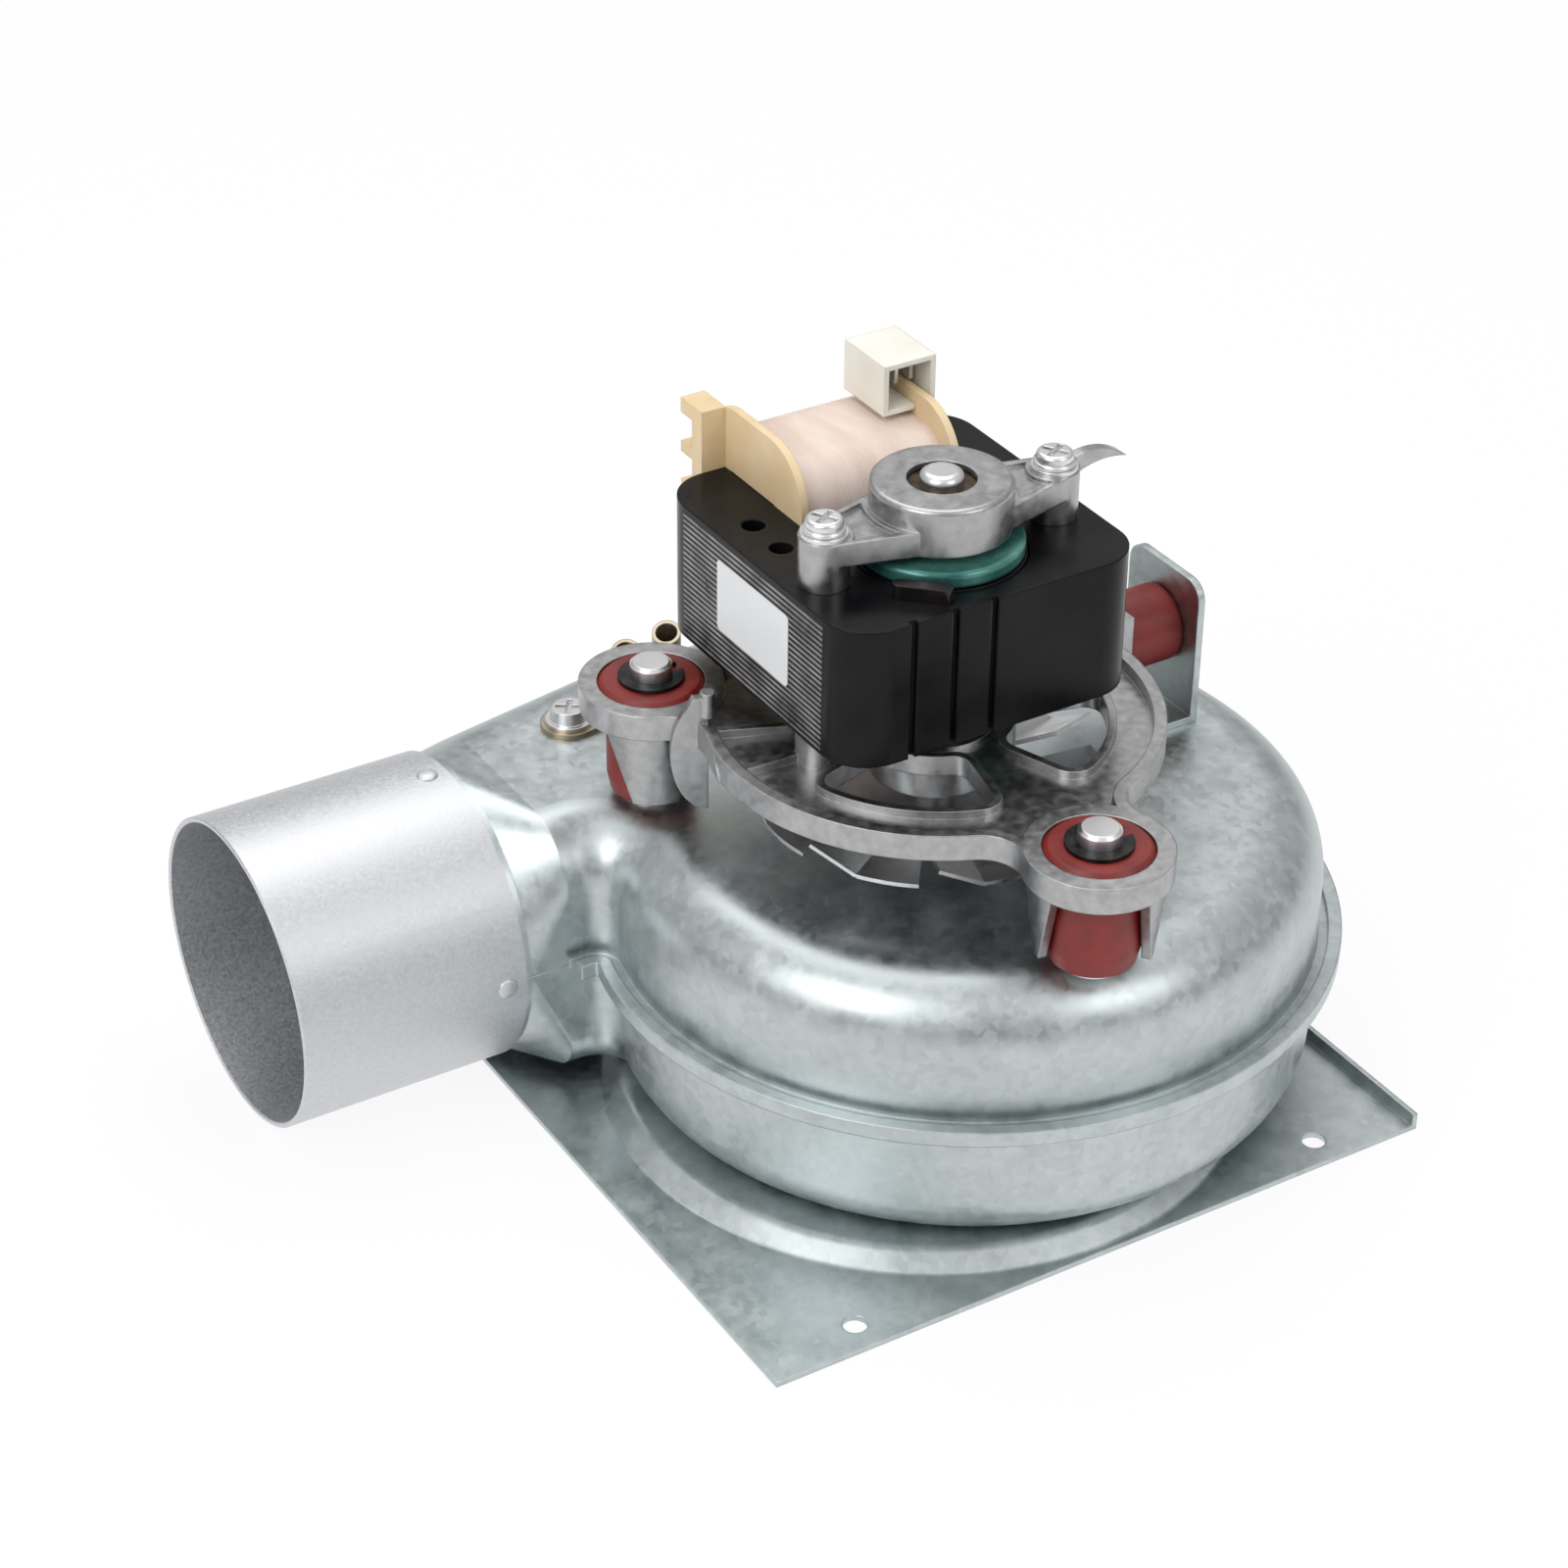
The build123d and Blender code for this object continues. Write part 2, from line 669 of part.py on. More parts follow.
with BuildPart() as motor_frame:
    with BuildSketch(Plane.XY.offset(frame_floor_z)):
        add(frame_plan)
    extrude(amount=frame_floor)
    with BuildSketch(Plane.XY.offset(frame_floor_z)):
        add(frame_plan)
        offset(amount=-frame_wall, mode=Mode.SUBTRACT)
    extrude(amount=frame_wall_height)
    for start, sweep in windows:
        window = window_opening(start, sweep)
        with BuildSketch(Plane.XY.offset(frame_floor_z)):
            add(window)
            offset(amount=window_rim)
        extrude(amount=frame_floor + window_rim)
        with BuildSketch(Plane.XY.offset(frame_floor_z)):
            add(window)
        extrude(amount=frame_wall_height, mode=Mode.SUBTRACT)
    with BuildSketch(Plane.XY.offset(ear_floor_z)):
        with Locations(*mounts):
            Circle(ear_r)
    extrude(amount=ear_thickness)
    for mount, finger_angle in ((front_mount, front_finger_angle), (left_mount, left_finger_angle)):
        with Locations(mount):
            add(finger_form.part.rotate(Axis.Z, finger_angle))
            add(finger_form.part.rotate(Axis.Z, finger_angle + 180))
    with BuildSketch(Plane.XY.offset(frame_floor_z)):
        with Locations(*mounts):
            Circle(ear_hole_r)
    extrude(amount=frame_wall_height, mode=Mode.SUBTRACT)
    # stiffening ribs between the left pillar and the wall
    rib_length = frame_r - frame_wall / 2 - screw_spacing / 2
    with BuildSketch(Plane.XY.offset(frame_floor_z)):
        for angle in rib_angles:
            with PolarLocations(screw_spacing / 2 + rib_length / 2, 1, start_angle=angle):
                Rectangle(rib_length, rib_width)
    extrude(amount=frame_floor + rib_height)
    # hub that holds the lower bearing
    with BuildSketch(Plane.XY.offset(lower_hub_bottom_z)):
        Circle(lower_hub_r)
    extrude(amount=frame_floor_z + frame_floor + 1 - lower_hub_bottom_z)
    with BuildSketch(Plane.XY.offset(lower_hub_bottom_z)):
        Circle(shaft_r + 1)
    extrude(amount=2 * frame_wall_height, mode=Mode.SUBTRACT)
    with BuildSketch(Plane.XY.offset(lower_bearing_z - bearing_height / 2)):
        Circle(bearing_r + seat_gap)
    extrude(amount=2 * frame_wall_height, mode=Mode.SUBTRACT)
    # pillars under the stack
    with BuildSketch(Plane.XY.offset(frame_floor_z)):
        with GridLocations(screw_spacing, 0, 2, 1):
            Circle(pillar_r)
    extrude(amount=stack_floor_z - frame_floor_z)
    with BuildSketch(Plane.XY.offset(frame_floor_z)):
        with GridLocations(screw_spacing, 0, 2, 1):
            Circle(screw_r + seat_gap)
    extrude(amount=stack_floor_z - frame_floor_z, mode=Mode.SUBTRACT)
    # upright lug of the side arm
    with BuildSketch(Plane.YZ.offset(arm_face_x - arm_thickness)):
        with Locations((bracket_y, bumper_z)):
            Rectangle(2 * arm_half_width, lug_height)
    extrude(amount=arm_thickness)
    with Locations(Plane.YZ.offset(arm_face_x)):
        with Locations((bracket_y, bumper_z)):
            Cylinder(pin_hole_r, 4 * arm_thickness, mode=Mode.SUBTRACT)
    # half-round fin beside the left ear
    fin_at = Vector(frame_r - frame_wall, 0, frame_top_z).rotate(Axis.Z, fin_angle)
    fin_plane = Plane(
        origin=fin_at,
        x_dir=Vector(0, 1, 0).rotate(Axis.Z, fin_angle),
        z_dir=Vector(1, 0, 0).rotate(Axis.Z, fin_angle),
    )
    with BuildSketch(fin_plane):
        with BuildLine():
            Line((0, 0), (0, -fin_height))
            ThreePointArc((0, -fin_height), (fin_bulge, -0.45 * fin_height), (0, 0))
        make_face()
    extrude(amount=frame_wall)
finish(motor_frame, "motor_frame")

# Stator stack: C-shaped laminations round the rotor bore, with two legs for the coil core
shade_hole_r = 1.35
shade_circle_r = 18.6
shade_angles = (35.0, 60.0)
rivet_hole_y = (14.0, 23.5)
groove_places = (-18.0, -9.5, -1.5)
groove_width = 1.4
groove_depth = 1.2
with BuildPart() as stator_core:
    with BuildSketch(Plane.XY.offset(stack_floor_z)):
        with Locations((0, stack_front_y)):
            Rectangle(
                2 * stack_half_width, stack_back_y - stack_front_y, align=(Align.CENTER, Align.MIN)
            )
        with Locations((0, window_front_y)):
            Rectangle(
                2 * leg_inner_x, stack_back_y, align=(Align.CENTER, Align.MIN), mode=Mode.SUBTRACT
            )
        Circle(bore_r, mode=Mode.SUBTRACT)
        with GridLocations(screw_spacing, 0, 2, 1):
            Circle(screw_r + seat_gap, mode=Mode.SUBTRACT)
        for hole_y in rivet_hole_y:
            with Locations((0, hole_y)):
                with GridLocations(screw_spacing, 0, 2, 1):
                    Circle(screw_r + 0.2, mode=Mode.SUBTRACT)
        for turn in (0, 180):
            for angle in shade_angles:
                with PolarLocations(shade_circle_r, 1, start_angle=angle + turn):
                    Circle(shade_hole_r, mode=Mode.SUBTRACT)
        for groove_x in groove_places:
            with Locations((groove_x, stack_front_y)):
                Rectangle(groove_width, 2 * groove_depth, mode=Mode.SUBTRACT)
    extrude(amount=stack_height)
    outer = stator_core.edges().filter_by(Axis.Z).filter_by(
        lambda e: abs(abs(e.center().X) - stack_half_width) < 0.01
    )
    fillet(outer, stack_corner_r)
finish(stator_core, "stator_core")

# Coil core: the straight lamination bar that closes the magnetic path between the legs
with BuildPart() as coil_core:
    with BuildSketch(Plane.XY.offset(stack_floor_z)):
        with Locations((0, coil_core_y)):
            Rectangle(2 * leg_inner_x, coil_core_width)
    extrude(amount=stack_height)
finish(coil_core, "coil_core")

# Shading rings: closed copper loops through the pole tips
with BuildPart() as shading_rings:
    for turn in (0, 180):
        legs = [Vector(shade_circle_r, 0).rotate(Axis.Z, angle + turn) for angle in shade_angles]
        with BuildSketch(Plane.XY.offset(stack_floor_z)):
            with Locations(*legs):
                Circle(shade_hole_r - seat_gap)
        extrude(amount=stack_height)
        middle = (legs[0] + legs[1]) * 0.5
        span = (legs[1] - legs[0]).length
        for level in (stack_floor_z - 2 * shade_hole_r, stack_roof_z):
            with BuildSketch(Plane.XY.offset(level)):
                with Locations(Location(middle, sum(shade_angles) / 2 + turn + 90)):
                    SlotCenterToCenter(span, 2 * (shade_hole_r - seat_gap))
            extrude(amount=2 * shade_hole_r)
finish(shading_rings, "shading_rings")

# Coil: bobbin with two flanges, taped winding, terminal block and connector housing
coil_z = stack_floor_z + stack_height / 2
core_half_y = coil_core_width / 2 + seat_gap
core_half_z = stack_height / 2 + seat_gap
tube_half_y = core_half_y + bobbin_wall
tube_half_z = core_half_z + bobbin_wall
winding_half_y = tube_half_y + winding_build - 1
winding_half_z = tube_half_z + winding_build - 1
flange_inner_x = leg_inner_x - seat_gap - flange_sheet
flange_half_y = winding_half_y + 1.3
flange_half_z = winding_half_z + flange_rise
with BuildPart() as coil_bobbin:
    for side in (-1, 1):
        with BuildSketch(Plane.YZ.offset(side * flange_inner_x)):
            with Locations((coil_core_y, coil_z)):
                RectangleRounded(2 * flange_half_y, 2 * flange_half_z, flange_corner_r)
        extrude(amount=side * flange_sheet)
    with BuildSketch(Plane.YZ):
        with Locations((coil_core_y, coil_z)):
            Rectangle(2 * tube_half_y, 2 * tube_half_z)
    extrude(amount=flange_inner_x, both=True)
    with BuildSketch(Plane.YZ):
        with Locations((coil_core_y, coil_z)):
            Rectangle(2 * core_half_y, 2 * core_half_z)
    extrude(amount=leg_inner_x, both=True, mode=Mode.SUBTRACT)
finish(coil_bobbin, "coil_bobbin")

with BuildPart() as coil_winding:
    with BuildSketch(Plane.YZ):
        with Locations((coil_core_y, coil_z)):
            RectangleRounded(2 * winding_half_y, 2 * winding_half_z, winding_corner_r)
            Rectangle(2 * tube_half_y, 2 * tube_half_z, mode=Mode.SUBTRACT)
    extrude(amount=flange_inner_x, both=True)
finish(coil_winding, "coil_winding")

terminal_depth = 7.0
terminal_size = (14.0, 16.5)
terminal_floor_z = stack_roof_z + 0.3
with BuildPart() as terminal_block:
    with BuildSketch(Plane.YZ.offset(-leg_inner_x + seat_gap)):
        with Locations((stack_back_y, terminal_floor_z)):
            Rectangle(*terminal_size, align=(Align.CENTER, Align.MIN))
        with Locations((stack_back_y + terminal_size[0] / 2, terminal_floor_z + 8)):
            with GridLocations(0, 6.5, 1, 2):
                Rectangle(7.0, 2.6, mode=Mode.SUBTRACT)
    extrude(amount=-terminal_depth)
finish(terminal_block, "terminal_block")

connector_size = (11.0, 13.5, 10.0)
connector_at = (14.0, 38.5)
connector_wall = 1.0
connector_sink = 3.4
connector_floor_z = coil_z + flange_half_z - connector_sink
with BuildPart() as connector_housing:
    with BuildSketch(Plane.XY.offset(connector_floor_z)):
        with Locations(connector_at):
            Rectangle(connector_size[0], connector_size[1])
    extrude(amount=connector_size[2])
    mouth = connector_housing.faces().sort_by(Axis.Y)[0]
    with BuildSketch(mouth):
        Rectangle(connector_size[0] - 2 * connector_wall, connector_size[2] - 2 * connector_wall)
    extrude(amount=-(connector_size[1] - connector_wall), mode=Mode.SUBTRACT)
    # slot that lets the bobbin's flange stand up inside the housing
    with BuildSketch(Plane.XY.offset(connector_floor_z)):
        with Locations((flange_inner_x + flange_sheet / 2, connector_at[1])):
            Rectangle(flange_sheet + 2 * seat_gap, connector_size[1])
    extrude(amount=connector_sink + seat_gap, mode=Mode.SUBTRACT)
finish(connector_housing, "connector_housing")

connector_pin_size = (0.8, 8.0, 2.8)
with BuildPart() as connector_pins:
    back_y = connector_at[1] + connector_size[1] / 2 - connector_wall
    with Locations((connector_at[0], back_y, connector_floor_z + connector_size[2] / 2)):
        with GridLocations(3.2, 0, 3, 1):
            Box(*connector_pin_size, align=(Align.CENTER, Align.MAX, Align.CENTER))
finish(connector_pins, "connector_pins")

# Plain rating label on the left side of the stack
label_size = (24.0, 14.3)
label_at = (12.0, stack_floor_z + 15.0)
label_thickness = 0.15
with BuildPart() as rating_label:
    with BuildSketch(Plane.YZ.offset(-stack_half_width)):
        with Locations(label_at):
            RectangleRounded(*label_size, 1.0)
    extrude(amount=-label_thickness)
finish(rating_label, "rating_label")

# Upper bearing bridge: round boss, two sloping arms and two feet on the stack
bridge_floor_z = boss_top_z - boss_height
foot_top_z = stack_roof_z + foot_height
boss_lip = 1.2
boss_hole_r = 6.2
boss_edge_r = 1.0
arm_root_inset = 2.0
arm_border = 1.2
pocket_depth = 0.8
tail_length = 13.0
tail_depth = 4.0
tail_root_x = screw_spacing / 2 + foot_r - 1
tail_z = foot_top_z - 0.5
with BuildPart() as upper_bridge:
    with BuildSketch(Plane.XY.offset(bridge_floor_z)):
        Circle(boss_r)
    extrude(amount=boss_height)
    with BuildSketch(Plane.XY.offset(bridge_floor_z)):
        with GridLocations(screw_spacing, 0, 2, 1):
            Circle(foot_r)
        for side in (-1, 1):
            Polygon(
                (0, arm_root_inset - boss_r),
                (side * screw_spacing / 2, -foot_r),
                (side * screw_spacing / 2, foot_r),
                (0, boss_r - arm_root_inset),
                align=None,
            )
    extrude(amount=foot_top_z - bridge_floor_z)
    with BuildSketch(Plane.XY.offset(stack_roof_z)):
        with GridLocations(screw_spacing, 0, 2, 1):
            Circle(foot_r)
    extrude(amount=foot_height)
    fillet(upper_bridge.faces().sort_by(Axis.Z)[-1].edges(), boss_edge_r)
    with BuildSketch(Plane.XY.offset(bridge_floor_z)):
        Circle(bearing_r + seat_gap)
    extrude(amount=boss_height - boss_lip, mode=Mode.SUBTRACT)
    with BuildSketch(Plane.XY.offset(bridge_floor_z)):
        Circle(boss_hole_r)
    extrude(amount=boss_height, mode=Mode.SUBTRACT)
    with BuildSketch(Plane.XY.offset(stack_roof_z)):
        with GridLocations(screw_spacing, 0, 2, 1):
            Circle(screw_r + seat_gap)
    extrude(amount=foot_height, mode=Mode.SUBTRACT)
    # shallow pocket in the top of each arm
    with BuildSketch(Plane.XY.offset(foot_top_z)):
        for side in (-1, 1):
            Polygon(
                (0, arm_border + arm_root_inset - boss_r),
                (side * screw_spacing / 2, arm_border - foot_r),
                (side * screw_spacing / 2, foot_r - arm_border),
                (0, boss_r - arm_root_inset - arm_border),
                align=None,
            )
        Circle(boss_r + arm_border, mode=Mode.SUBTRACT)
        with GridLocations(screw_spacing, 0, 2, 1):
            Circle(foot_r + arm_border / 2, mode=Mode.SUBTRACT)
    extrude(amount=-pocket_depth, mode=Mode.SUBTRACT)
    # pointed tail on the right foot
    with BuildSketch(Plane.XZ.offset(-1)):
        with BuildLine():
            Line((tail_root_x, tail_z - tail_depth), (tail_root_x, tail_z))
            ThreePointArc(
                (tail_root_x, tail_z),
                (tail_root_x + tail_length / 2, tail_z + 1),
                (tail_root_x + tail_length, tail_z - 2),
            )
            ThreePointArc(
                (tail_root_x + tail_length, tail_z - 2),
                (tail_root_x + tail_length / 2, tail_z - 1.5),
                (tail_root_x, tail_z - tail_depth),
            )
        make_face()
    extrude(amount=-2)
finish(upper_bridge, "upper_bridge")

# Long screws with washers that clamp bridge, stack and frame
washer_thickness = 0.8
washer_inset = 0.3
with BuildPart() as bridge_washers:
    with BuildSketch(Plane.XY.offset(foot_top_z)):
        with GridLocations(screw_spacing, 0, 2, 1):
            Circle(foot_r - washer_inset)
            Circle(screw_r, mode=Mode.SUBTRACT)
    extrude(amount=washer_thickness)
finish(bridge_washers, "bridge_washers")

head_floor_z = foot_top_z + washer_thickness
screw_head_r = 3.4
screw_head_height = 2.6
screw_edge_r = 0.8
cross_turn = 30.0
with BuildPart() as bridge_screws:
    with BuildSketch(Plane.XY.offset(frame_floor_z + 1)):
        with GridLocations(screw_spacing, 0, 2, 1):
            Circle(screw_r)
    extrude(amount=head_floor_z - frame_floor_z - 1)
    with BuildSketch(Plane.XY.offset(head_floor_z)):
        with GridLocations(screw_spacing, 0, 2, 1):
            Circle(screw_head_r)
    extrude(amount=screw_head_height)
    fillet(bridge_screws.edges().group_by(Axis.Z)[-1], screw_edge_r)
    with BuildSketch(Plane.XY.offset(head_floor_z + screw_head_height)):
        with GridLocations(screw_spacing, 0, 2, 1):
            Rectangle(cross_width, cross_length, rotation=cross_turn)
            Rectangle(cross_length, cross_width, rotation=cross_turn)
    extrude(amount=-cross_depth, mode=Mode.SUBTRACT)
finish(bridge_screws, "bridge_screws")


def bearing_at(centre_z):
    """Self-aligning sintered bearing: a ball cut flat above and below, bored for the shaft."""
    with BuildPart() as bearing:
        with Locations((0, 0, centre_z)):
            Sphere(bearing_r)
            Box(4 * bearing_r, 4 * bearing_r, bearing_height, mode=Mode.INTERSECT)
            Cylinder(shaft_r + running_gap, 2 * bearing_height, mode=Mode.SUBTRACT)
    return bearing


def felt_at(floor_z, height):
    """Oil felt ring that sits beside a bearing."""
    with BuildPart() as felt:
        with BuildSketch(Plane.XY.offset(floor_z)):
            Circle(bearing_r)
            Circle(shaft_r + 0.4, mode=Mode.SUBTRACT)
        extrude(amount=height)
    return felt


upper_bearing_z = boss_top_z - boss_lip - bearing_height / 2
upper_bearing = bearing_at(upper_bearing_z)
finish(upper_bearing, "upper_bearing")
lower_bearing = bearing_at(lower_bearing_z)
finish(lower_bearing, "lower_bearing")
upper_felt_z = bridge_floor_z
upper_felt = felt_at(upper_felt_z, upper_bearing_z - bearing_height / 2 - upper_felt_z)
finish(upper_felt, "upper_felt")
lower_felt_z = lower_bearing_z + bearing_height / 2
lower_felt = felt_at(lower_felt_z, 1.0)
finish(lower_felt, "lower_felt")

# Motor shaft: one ground rod from the upper bearing to the impeller
impeller_back_z = impeller_floor_z + sheet + impeller_height
shaft_floor_z = impeller_back_z - 10
shaft_edge = 0.5
shaft_dome_r = 1.5
with BuildPart() as motor_shaft:
    with BuildSketch(Plane.XY.offset(shaft_floor_z)):
        Circle(shaft_r)
    extrude(amount=shaft_end_z - shaft_floor_z)
    chamfer(motor_shaft.edges().group_by(Axis.Z)[0], shaft_edge)
    fillet(motor_shaft.edges().group_by(Axis.Z)[-1], shaft_dome_r)
finish(motor_shaft, "motor_shaft")

# Rotor core and its cast end rings
end_ring_r = 15.2
end_ring_inner_r = 9.0
end_ring_height = 3.2
with BuildPart() as rotor_core:
    with BuildSketch(Plane.XY.offset(stack_floor_z)):
        Circle(rotor_r)
        Circle(shaft_r, mode=Mode.SUBTRACT)
    extrude(amount=stack_height)
finish(rotor_core, "rotor_core")


def end_ring_at(floor_z):
    """Cast conductor ring at one end of the rotor core."""
    with BuildPart() as ring:
        with BuildSketch(Plane.XY.offset(floor_z)):
            Circle(end_ring_r)
            Circle(end_ring_inner_r, mode=Mode.SUBTRACT)
        extrude(amount=end_ring_height)
        fillet(ring.edges().filter_by(GeomType.CIRCLE).group_by(SortBy.RADIUS)[-1], 1.0)
    return ring


upper_end_ring = end_ring_at(stack_roof_z)
finish(upper_end_ring, "upper_end_ring")
lower_end_ring = end_ring_at(stack_floor_z - end_ring_height)
finish(lower_end_ring, "lower_end_ring")

# Spacer sleeves that hold the rotor core between the bearings
sleeve_r = 5.6
thrust_gap = 0.4
lower_felt_top_z = lower_felt_z + 1.0
with BuildPart() as spacer_sleeves:
    with BuildSketch(Plane.XY.offset(stack_roof_z)):
        Circle(sleeve_r)
        Circle(shaft_r, mode=Mode.SUBTRACT)
    extrude(amount=bridge_floor_z - thrust_gap - stack_roof_z)
    with BuildSketch(Plane.XY.offset(lower_felt_top_z + thrust_gap)):
        Circle(sleeve_r)
        Circle(shaft_r, mode=Mode.SUBTRACT)
    extrude(amount=stack_floor_z - lower_felt_top_z - thrust_gap)
finish(spacer_sleeves, "spacer_sleeves")

# Cooling fan: a stamped disc with folded blades on a hub under the frame
fan_hub_r = 7.5
fan_hub_floor_z = casing_roof_z + 2.5
fan_z = fan_hub_floor_z + 4.5
fan_sheet = 0.8
fan_disc_r = 18.0
fan_r = 33.0
fan_blades = 9
fan_phase = 13.0
fan_arm_sweep = 20.0
fan_tab_root = 19.5
fan_tab_width = 9.7
fan_tab_lean = 62.0
with BuildPart() as fan_hub:
    with BuildSketch(Plane.XY.offset(fan_hub_floor_z)):
        Circle(fan_hub_r)
        Circle(shaft_r, mode=Mode.SUBTRACT)
    extrude(amount=fan_z - fan_hub_floor_z)
finish(fan_hub, "fan_hub")

with BuildPart() as fan_tab:
    with BuildSketch(Plane.XZ):
        Polygon(
            (fan_tab_root, 0),
            (fan_r, 0),
            (fan_r + 1, fan_tab_width),
            (fan_tab_root + fan_tab_width / 2, fan_tab_width),
            align=None,
        )
    extrude(amount=fan_sheet / 2, both=True)
with BuildPart() as cooling_fan:
    with BuildSketch(Plane.XY.offset(fan_z)):
        Circle(fan_disc_r)
        for number in range(fan_blades):
            arm_angle = fan_phase + number * 360 / fan_blades
            add(ring_sector(fan_disc_r - 1, fan_r, arm_angle, fan_arm_sweep))
        Circle(shaft_r, mode=Mode.SUBTRACT)
    extrude(amount=fan_sheet)
    with PolarLocations(0, fan_blades, start_angle=fan_phase):
        with Locations(Location((0, 0, fan_z + fan_sheet / 2), (fan_tab_lean, 0, 0))):
            add(fan_tab.part)
finish(cooling_fan, "cooling_fan")

# Impeller: back plate, forward-curved blades, shroud ring, hub, nut and washer
with BuildPart() as impeller_shroud:
    with BuildSketch(Plane.XY.offset(impeller_floor_z)):
        Circle(impeller_r)
        Circle(impeller_eye_r, mode=Mode.SUBTRACT)
    extrude(amount=sheet)
finish(impeller_shroud, "impeller_shroud")

with BuildPart() as impeller_backplate:
    with BuildSketch(Plane.XY.offset(impeller_back_z)):
        Circle(impeller_r)
        Circle(shaft_r, mode=Mode.SUBTRACT)
        with PolarLocations(20, 6):
            Circle(3, mode=Mode.SUBTRACT)
    extrude(amount=sheet)
finish(impeller_backplate, "impeller_backplate")

blade_inner_r = impeller_eye_r + 0.8
blade_outer_r = impeller_r - 0.6
blade_lead = 9.0
blade_root = Vector(blade_inner_r, 0)
blade_tip = Vector(blade_outer_r, 0).rotate(Axis.Z, blade_lead)
with BuildPart() as impeller_blades:
    with BuildSketch(Plane.XY.offset(impeller_floor_z + sheet)):
        with BuildLine(mode=Mode.PRIVATE) as blade_line:
            RadiusArc(blade_root, blade_tip, -blade_arc_r)
        with PolarLocations(0, blade_count):
            SlotArc(blade_line.wire(), blade_sheet)
    extrude(amount=impeller_height)
finish(impeller_blades, "impeller_blades")

hub_r = 9.0
hub_height = 4.5
with BuildPart() as impeller_hub:
    with BuildSketch(Plane.XY.offset(impeller_back_z + sheet)):
        Circle(hub_r)
        Circle(shaft_r, mode=Mode.SUBTRACT)
    extrude(amount=hub_height)
finish(impeller_hub, "impeller_hub")

nut_height = 5.0
washer_r = 8.0
with BuildPart() as impeller_washer:
    with BuildSketch(Plane.XY.offset(impeller_back_z - washer_thickness)):
        Circle(washer_r)
        Circle(shaft_r, mode=Mode.SUBTRACT)
    extrude(amount=washer_thickness)
finish(impeller_washer, "impeller_washer")

with BuildPart() as impeller_nut:
    with BuildSketch(Plane.XY.offset(impeller_back_z - washer_thickness - nut_height)):
        RegularPolygon(7.0, 6)
        Circle(shaft_r, mode=Mode.SUBTRACT)
    extrude(amount=nut_height)
    chamfer(impeller_nut.faces().sort_by(Axis.Z)[0].edges().filter_by(GeomType.LINE), 0.4)
finish(impeller_nut, "impeller_nut")
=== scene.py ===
import bmesh
import bpy
from math import cos, radians, sin
from mathutils import Matrix, Vector


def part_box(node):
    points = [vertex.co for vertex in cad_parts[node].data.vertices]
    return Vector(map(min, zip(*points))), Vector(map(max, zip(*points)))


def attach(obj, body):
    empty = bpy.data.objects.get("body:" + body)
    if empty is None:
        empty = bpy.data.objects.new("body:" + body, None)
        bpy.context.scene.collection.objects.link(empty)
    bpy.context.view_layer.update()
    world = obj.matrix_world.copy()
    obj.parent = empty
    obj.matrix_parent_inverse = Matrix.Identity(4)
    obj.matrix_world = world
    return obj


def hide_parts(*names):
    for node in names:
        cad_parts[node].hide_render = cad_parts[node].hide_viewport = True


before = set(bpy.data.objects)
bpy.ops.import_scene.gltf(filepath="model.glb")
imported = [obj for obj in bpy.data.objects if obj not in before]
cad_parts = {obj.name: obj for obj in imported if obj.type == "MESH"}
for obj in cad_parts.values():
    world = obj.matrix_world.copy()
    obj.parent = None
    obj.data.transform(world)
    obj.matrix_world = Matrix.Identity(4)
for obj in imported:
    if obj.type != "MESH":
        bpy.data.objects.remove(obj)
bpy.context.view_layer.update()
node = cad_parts


# Studio
# The fan stands on a plain pale table in a white light tent. Three large soft lamps and
# the tent's own walls light it, and the camera looks down from the outlet's side.
def add_object(name, content):
    """Put a mesh, a lamp or a camera into the scene, at the origin."""
    thing = bpy.data.objects.new(name, content)
    bpy.context.scene.collection.objects.link(thing)
    return thing


def wire(tree, *pairs):
    """Join outputs to inputs in a node tree."""
    for source, target in pairs:
        tree.links.new(source, target)


bpy.context.scene.view_settings.view_transform = "Standard"
table_half = 4.0
table_corners = [
    (-table_half, -table_half, 0), (table_half, -table_half, 0),
    (table_half, table_half, 0), (-table_half, table_half, 0),
]
table_mesh = bpy.data.meshes.new("table_top")
table_mesh.from_pydata(table_corners, [], [(0, 1, 2, 3)])
table_top = add_object("table_top", table_mesh)

table_finish = bpy.data.materials.new("table_finish")
table_finish.use_nodes = True
table_tree = table_finish.node_tree
table_paper = table_tree.nodes["Principled BSDF"]
table_paper.inputs["Base Color"].default_value = (0.92, 0.92, 0.92, 1)
table_paper.inputs["Roughness"].default_value = 0.7
table_glow = table_tree.nodes.new("ShaderNodeEmission")
table_glow.inputs["Color"].default_value = (1, 1, 1, 1)
table_glow.inputs["Strength"].default_value = 1.0
table_mix = table_tree.nodes.new("ShaderNodeMixShader")
table_path = table_tree.nodes.new("ShaderNodeLightPath")
table_seen = table_tree.nodes.new("ShaderNodeMath")
table_seen.operation = "MAXIMUM"
table_glow_share = table_tree.nodes.new("ShaderNodeMath")
table_glow_share.operation = "MULTIPLY"
table_glow_share.inputs[1].default_value = 0.88
wire(
    table_tree,
    (table_path.outputs["Is Camera Ray"], table_seen.inputs[0]),
    (table_path.outputs["Is Glossy Ray"], table_seen.inputs[1]),
    (table_seen.outputs[0], table_glow_share.inputs[0]),
    (table_glow_share.outputs[0], table_mix.inputs["Fac"]),
    (table_paper.outputs[0], table_mix.inputs[1]),
    (table_glow.outputs[0], table_mix.inputs[2]),
    (table_mix.outputs[0], table_tree.nodes["Material Output"].inputs["Surface"]),
)
table_mesh.materials.append(table_finish)

